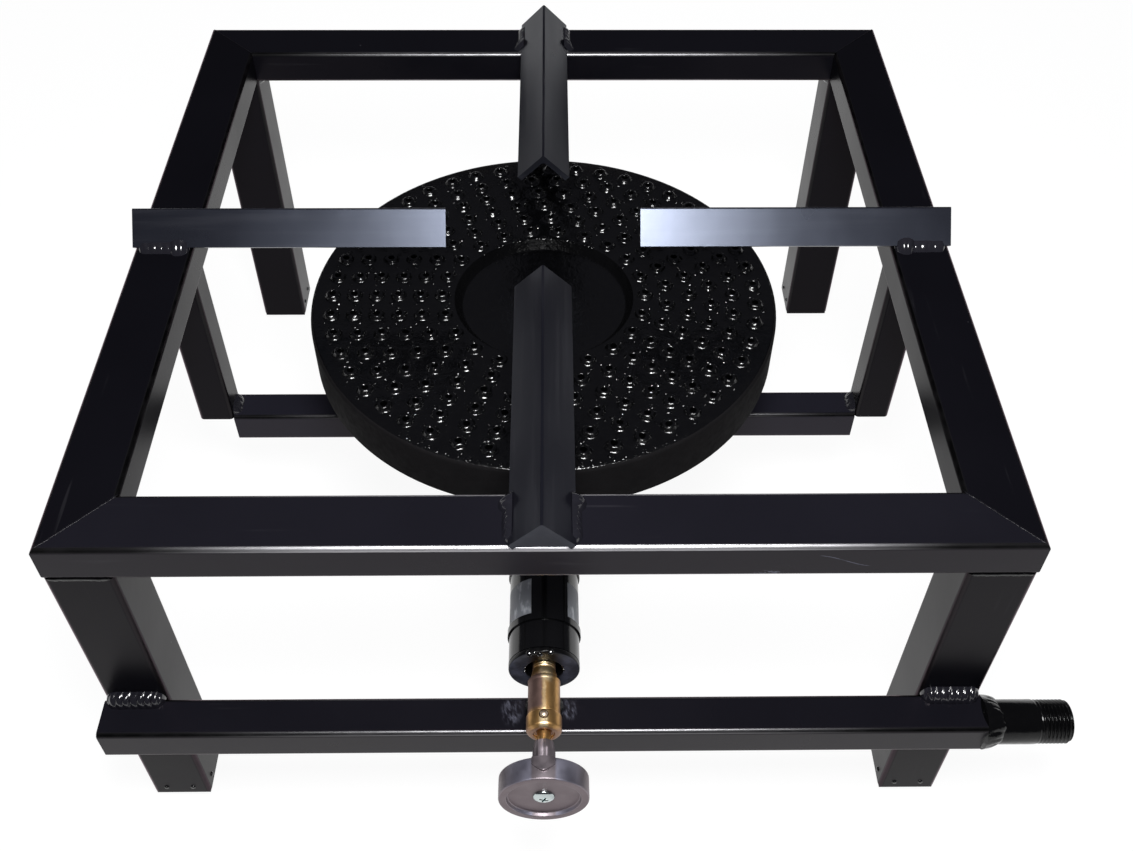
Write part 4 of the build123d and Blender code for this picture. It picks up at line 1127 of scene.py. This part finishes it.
class STOVE_OT_valve(Operator):
    """Turn the brass valve body and gland nut and finish the parts inside them"""

    bl_idname = "stove.valve"
    bl_label = "Turn the valve"

    def execute(self, context):
        size, looks = context.scene.stove_valve, context.scene.stove_finishes
        # The valve's brass gets brown and painted shade low down, and a painted highlight along its top.
        brass = turned_metal("valve_brass", looks.brass, 0.41, "Y", barrel_brown_and_shade, painted_brass_highlight)
        low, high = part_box("valve_body")
        centre = Vector((0, 0, high.z - (high.x - low.x) / 2))
        piece("brass_valve_body", joined(*self.body(size, centre)), brass, "stand", ["valve_body"])
        piece("brass_gland_nut", lathe(self.nut(size), "Y", centre, 72, closed=True), brass, "stand",
              ["gland_nut"])
        self.lock_screw(size, looks, centre.z)
        dress(turned_metal("jet_brass", looks.brass, 0.35, "Y"), "injector_jet")
        dress(turned_metal("spindle_brass", looks.brass, 0.40, "Y"), "valve_spindle")
        dress(turned_metal("needle_steel", looks.zinc, 0.24, "Y"), "valve_needle")
        dress(fibre("graphite_packing"), "gland_packing")
        return {"FINISHED"}

    def body(self, size, centre):
        """Barrel with its cone and ringed nose, and the stub that screws into the manifold's boss."""
        low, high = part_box("valve_body")
        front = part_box("gland_nut")[1].y
        boss_low, boss_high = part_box("valve_boss")
        barrel = high.x
        shoulder = high.y - size.nose_length
        step, collar = barrel - 1.2 * MM, barrel + 0.15 * MM
        rings = [(size.nose - (0.0, 0.5)[k % 2] * MM, high.y - 0.65 * MM * k) for k in range(1, 10)]
        profile = soften([
            (size.gas_bore, high.y), (size.nose - 0.4 * MM, high.y), *rings, (size.nose, shoulder),
            (step, shoulder - 3.4 * MM), (step, shoulder - 4.4 * MM), (collar, shoulder - 5.4 * MM),
            (collar, shoulder - 6.6 * MM), (barrel, shoulder - 7.2 * MM), (barrel, front), (size.neck, front),
            (size.neck, low.y), (size.spindle_bore, low.y), (size.spindle_bore, front + 6.0 * MM),
            (size.gas_bore, front + 7.0 * MM),
        ], size.edge, closed=True)
        bore, outer = 3.0 * MM, 6.6 * MM
        stub = [(bore, low.z), (outer, low.z), (outer, centre.z), (bore, centre.z)]
        stub = soften(stub, size.edge, closed=True)
        foot = (0, (boss_low.y + boss_high.y) / 2, 0)
        return lathe(profile, "Y", centre, 72, closed=True), lathe(stub, "Z", foot, 48, closed=True)

    def nut(self, size):
        """Profile of the gland nut, sunk in front round the spindle."""
        low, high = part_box("gland_nut")
        outer = high.x
        inside, recess, throat = size.neck + 0.05 * MM, 4.95 * MM, 3.28 * MM
        lip, floor = low.y + 1.4 * MM, low.y + 3.2 * MM
        return soften([
            (inside, high.y), (outer - 0.4 * MM, high.y), (outer, high.y - 0.6 * MM),
            (outer, low.y + 1.6 * MM), (outer - 1.6 * MM, low.y), (recess, low.y), (recess, lip),
            (throat, lip), (throat, floor), (inside, floor),
        ], 0.7 * MM, closed=True)

    def lock_screw(self, size, looks, axis_z):
        """Button-headed lock screw of the gland nut, in a dark seat that follows the nut's round."""
        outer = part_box("gland_nut")[1].x
        low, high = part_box("gland_lock_screw")
        middle = (low + high) / 2
        head, shank = size.lock_head, (high.x - low.x) / 2
        crown = axis_z + outer + 1.1 * MM
        under = crown - 1.6 * MM
        dome = [(head * cos(a), crown - 1.2 * MM * (1 - sin(a))) for a in angles(pi / 2, 7)[:-1]]
        profile = [(0.0, low.z), (shank, low.z), (shank, under), (head, under), *dome, (0.0, crown)]
        piece("lock_screw", lathe(profile, "Z", (middle.x, middle.y, 0), 40),
              turned_metal("lock_screw_brass", looks.lock_screw, 0.42, "Z"), "stand",
              ["gland_lock_screw"])
        wide, sunk, proud = head + 0.45 * MM, -0.3 * MM, 0.1 * MM
        seat = soften([(head, sunk), (wide, sunk), (wide, proud), (head, proud)], 0.1 * MM, closed=True)
        verts, faces = lathe(seat, "Z", (middle.x, middle.y, 0), 40, closed=True)
        verts = [v + UP * (axis_z + sqrt(outer ** 2 - v.x ** 2)) for v in verts]
        dark = turned_metal("seat_brass", looks.screw_seat, 0.5, "Z")
        piece("lock_screw_seat", (verts, faces), dark, "stand")


class STOVE_OT_knob(Operator):
    """Cast the knob and its cross-head screw"""

    bl_idname = "stove.knob"
    bl_label = "Cast the knob"

    def execute(self, context):
        size, looks = context.scene.stove_valve, context.scene.stove_finishes
        low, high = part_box("control_knob")
        centre = Vector((0, 0, low.z + high.x))
        casting = joined(lathe(self.disc(size), "Y", centre, 96, closed=True), self.lug(size, centre))
        piece("knob_casting", casting, knob_metal("knob_alloy", 0.48), "handwheel",
              ["control_knob"], 50.0)
        low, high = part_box("knob_screw")
        head, shank = high.x, 2.0 * MM
        rim, seat = low.y + size.screw_dome, low.y + 2.6 * MM
        dome = [(head * sin(a), low.y + size.screw_dome * (1 - cos(a))) for a in angles(pi / 2, 8)]
        stem = soften([(head, rim), (head, seat), (shank, seat), (shank, high.y - 0.6 * MM),
                       (shank - 0.6 * MM, high.y), (0.0, high.y)], 0.3 * MM)
        screw = piece("knob_screw_cross_head", lathe(dome + stem[1:], "Y", centre, 64),
                      turned_metal("screw_zinc", looks.zinc, 0.16, "Y"), "handwheel",
                      ["knob_screw"])
        self.cross(screw, centre + BACK * low.y, head, size.screw_slot)
        return {"FINISHED"}

    def disc(self, size):
        """Profile of the knob's disc and neck, each corner with its own rounding."""
        low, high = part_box("control_knob")
        rim, neck, bore, hole = high.x, size.knob_neck, size.knob_bore, 2.05 * MM
        back, floor = low.y + size.knob_depth, low.y + size.knob_recess
        recess, web = rim - size.knob_rim, floor + 2.0 * MM
        corners = [
            ((bore, high.y), 0.3 * MM), ((4.4 * MM, high.y), 0.6 * MM), ((neck, high.y - 4.5 * MM), 1.0 * MM),
            ((neck, back), 1.6 * MM), ((rim, back), size.knob_edge), ((rim, low.y), size.knob_edge),
            ((recess, low.y), 0.5 * MM), ((recess - 0.5 * MM, floor), 0.6 * MM), ((hole, floor), 0.2 * MM),
            ((hole, web), 0.2 * MM), ((bore, web), 0.2 * MM),
        ]
        profile = []
        for i, (point, radius) in enumerate(corners):
            after = corners[(i + 1) % len(corners)][0]
            profile += soften([corners[i - 1][0], point, after], radius, 6)[1:-1]
        return profile

    def lug(self, size, centre):
        """Pointer cast over the rim, with its rib down to the neck."""
        low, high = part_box("control_knob")
        half, back = size.knob_neck, low.y + size.knob_depth
        front, rise, deep = back - 7.0 * MM, high.z - centre.z, high.x - 4.0 * MM
        tip, rib = 3.7 * MM, 4.0 * MM
        stations = [(front + tip * k / 8, half * (k / 8) ** 0.7, deep) for k in range(9)]
        stations.append((back, half, deep))
        stations += [(back + k * MM, half, 0.0) for k in (0.3, 1.2, 2.2, 3.2, 4.0)]
        verts = []
        for y, wide, foot in stations:
            height = rise - 0.5 * MM * min(1.0, (y - front) / (back - front))
            if y > back:
                height -= (height - half) * (y - back) / rib
            crown = 1.1 * MM * wide / half
            arch = [(wide * k / 6, height - crown * (k / 6) ** 2) for k in range(-6, 7)]
            section = soften([(-wide, foot), *arch, (wide, foot)], 0.8 * MM, 4)
            verts += [Vector((x, y, centre.z + z)) for x, z in section]
        rows, columns = len(stations), len(section)
        return verts, skin(rows, columns) + caps(rows, columns)[1:]

    def cross(self, screw, place, head, width):
        """Cuts the cross recess into the screw's head."""
        work = bmesh.new()
        for turn in (0.35, 0.35 + pi / 2):
            bar = bmesh.ops.create_cube(work, size=1.0)["verts"]
            shape = Matrix.Rotation(turn, 4, "Y") @ Matrix.Diagonal((0.85 * head, 2.6 * MM, width, 1.0))
            bmesh.ops.transform(work, matrix=Matrix.Translation(place) @ shape, verts=bar)
        cutter = bpy.data.objects.new("cross_cutter", bpy.data.meshes.new("cross_cutter"))
        work.to_mesh(cutter.data)
        work.free()
        bpy.context.scene.collection.objects.link(cutter)
        cut = screw.modifiers.new("cross", "BOOLEAN")
        cut.object, cut.operation, cut.solver, cut.use_self = cutter, "DIFFERENCE", "EXACT", True
        shaped = bpy.data.meshes.new_from_object(screw.evaluated_get(bpy.context.evaluated_depsgraph_get()))
        screw.modifiers.remove(cut)
        screw.data = shaped
        shaped.shade_smooth()
        shaped.set_sharp_from_angle(angle=radians(35.0))
        bpy.data.objects.remove(cutter)


class STOVE_OT_stage(Operator):
    """Set the floor, lamps, room and camera"""

    bl_idname = "stove.stage"
    bl_label = "Set the stage"

    def execute(self, context):
        scene, stage = context.scene, context.scene.stove_stage
        scene.view_settings.view_transform = "Standard"
        half = stage.floor / 2
        mesh = bpy.data.meshes.new("floor")
        corners = [(-half, -half, 0), (half, -half, 0), (half, half, 0), (-half, half, 0)]
        mesh.from_pydata(corners, [], [(0, 1, 2, 3)])
        mesh.materials.append(self.floor_finish(stage.floor_glow))
        floor = bpy.data.objects.new("floor", mesh)
        scene.collection.objects.link(floor)

        self.lamp("key_lamp", "DISK", stage.key_size, stage.key_power, stage.key_place, stage.key_target)
        below = (stage.top_place[0], stage.top_place[1], 0.0)
        top = self.lamp("top_lamp", "SQUARE", stage.top_size, stage.top_power, stage.top_place, below)
        top.visible_glossy = False

        room = bpy.data.worlds.new("room")
        room.use_nodes = True
        room.node_tree.nodes["Background"].inputs["Color"].default_value = (*stage.room, 1.0)
        scene.world = room

        camera_data = bpy.data.cameras.new("front_view")
        camera_data.sensor_fit, camera_data.sensor_width = "HORIZONTAL", stage.sensor
        camera_data.lens, camera_data.clip_start = stage.lens, 0.01
        camera = bpy.data.objects.new("front_view", camera_data)
        scene.collection.objects.link(camera)
        camera.matrix_world = (
            Matrix.Translation(stage.place) @ Matrix.Rotation(stage.turn, 4, "Z")
            @ Matrix.Rotation(stage.tilt, 4, "X") @ Matrix.Rotation(stage.roll, 4, "Z")
        )
        scene.camera = camera
        return {"FINISHED"}

    def lamp(self, name, shape, size, watts, place, target):
        """Soft area lamp aimed at a point."""
        light = bpy.data.lights.new(name, "AREA")
        light.shape, light.size, light.energy = shape, size, watts
        made = bpy.data.objects.new(name, light)
        made.location = place
        made.rotation_euler = (Vector(target) - Vector(place)).to_track_quat("-Z", "Y").to_euler()
        bpy.context.scene.collection.objects.link(made)
        return made

    def floor_finish(self, glow):
        """White floor: even white where seen or mirrored, plain matt for the light that it gives back."""
        floor = Finish("white_floor")
        floor.tree.nodes.remove(floor.shader)
        rays = floor.put("ShaderNodeLightPath").outputs
        seen = floor.any_of(rays["Is Camera Ray"], rays["Is Glossy Ray"], rays["Is Transmission Ray"])
        pale = floor.tint(floor.grain(9.0), (0.78, 0.78, 0.78), (0.82, 0.82, 0.82))
        matt = floor.put("ShaderNodeBsdfDiffuse", {"Color": pale})
        shine = floor.put("ShaderNodeEmission", {"Color": (1.0, 1.0, 1.0, 1.0), "Strength": glow})
        shade = floor.put("ShaderNodeBsdfDiffuse", {"Color": (0.12, 0.12, 0.12, 1.0)})
        white = floor.put("ShaderNodeAddShader", {0: shine.outputs[0], 1: shade.outputs[0]})
        mixed = floor.put("ShaderNodeMixShader", {0: seen, 1: matt.outputs[0], 2: white.outputs[0]})
        floor.fill(floor.tree.nodes["Material Output"], {"Surface": mixed.outputs[0]})
        return floor.material


GROUPS = {
    "stove_finishes": StoveFinishes, "stove_burner": StoveBurner, "stove_welds": StoveWelds,
    "stove_inlet": StoveInlet, "stove_valve": StoveValve, "stove_stage": StoveStage,
}
OPERATORS = (
    STOVE_OT_stand, STOVE_OT_welds, STOVE_OT_seams, STOVE_OT_burner_head, STOVE_OT_burner_fixings,
    STOVE_OT_mixer, STOVE_OT_manifold, STOVE_OT_valve, STOVE_OT_knob, STOVE_OT_stage,
)


class STOVE_PT_panel(Panel):
    """Steps and sizes of the stove"""

    bl_idname = "STOVE_PT_panel"
    bl_label = "Gas Burner Stove"
    bl_space_type = "VIEW_3D"
    bl_region_type = "UI"
    bl_category = "Stove"

    def draw(self, context):
        for operator in OPERATORS:
            self.layout.operator(operator.bl_idname)
        for name, group in GROUPS.items():
            box = self.layout.box()
            box.label(text=group.__doc__)
            for key in group.__annotations__:
                box.prop(getattr(context.scene, name), key)


CLASSES = (*GROUPS.values(), *OPERATORS, STOVE_PT_panel)


def register():
    for each in CLASSES:
        bpy.utils.register_class(each)
    for name, group in GROUPS.items():
        setattr(bpy.types.Scene, name, PointerProperty(type=group))


def unregister():
    for name in GROUPS:
        delattr(bpy.types.Scene, name)
    for each in reversed(CLASSES):
        bpy.utils.unregister_class(each)


def main():
    """Makes every piece in order."""
    register()
    for operator in OPERATORS:
        family, name = operator.bl_idname.split(".")
        getattr(getattr(bpy.ops, family), name)()


if __name__ == "__main__":
    main()
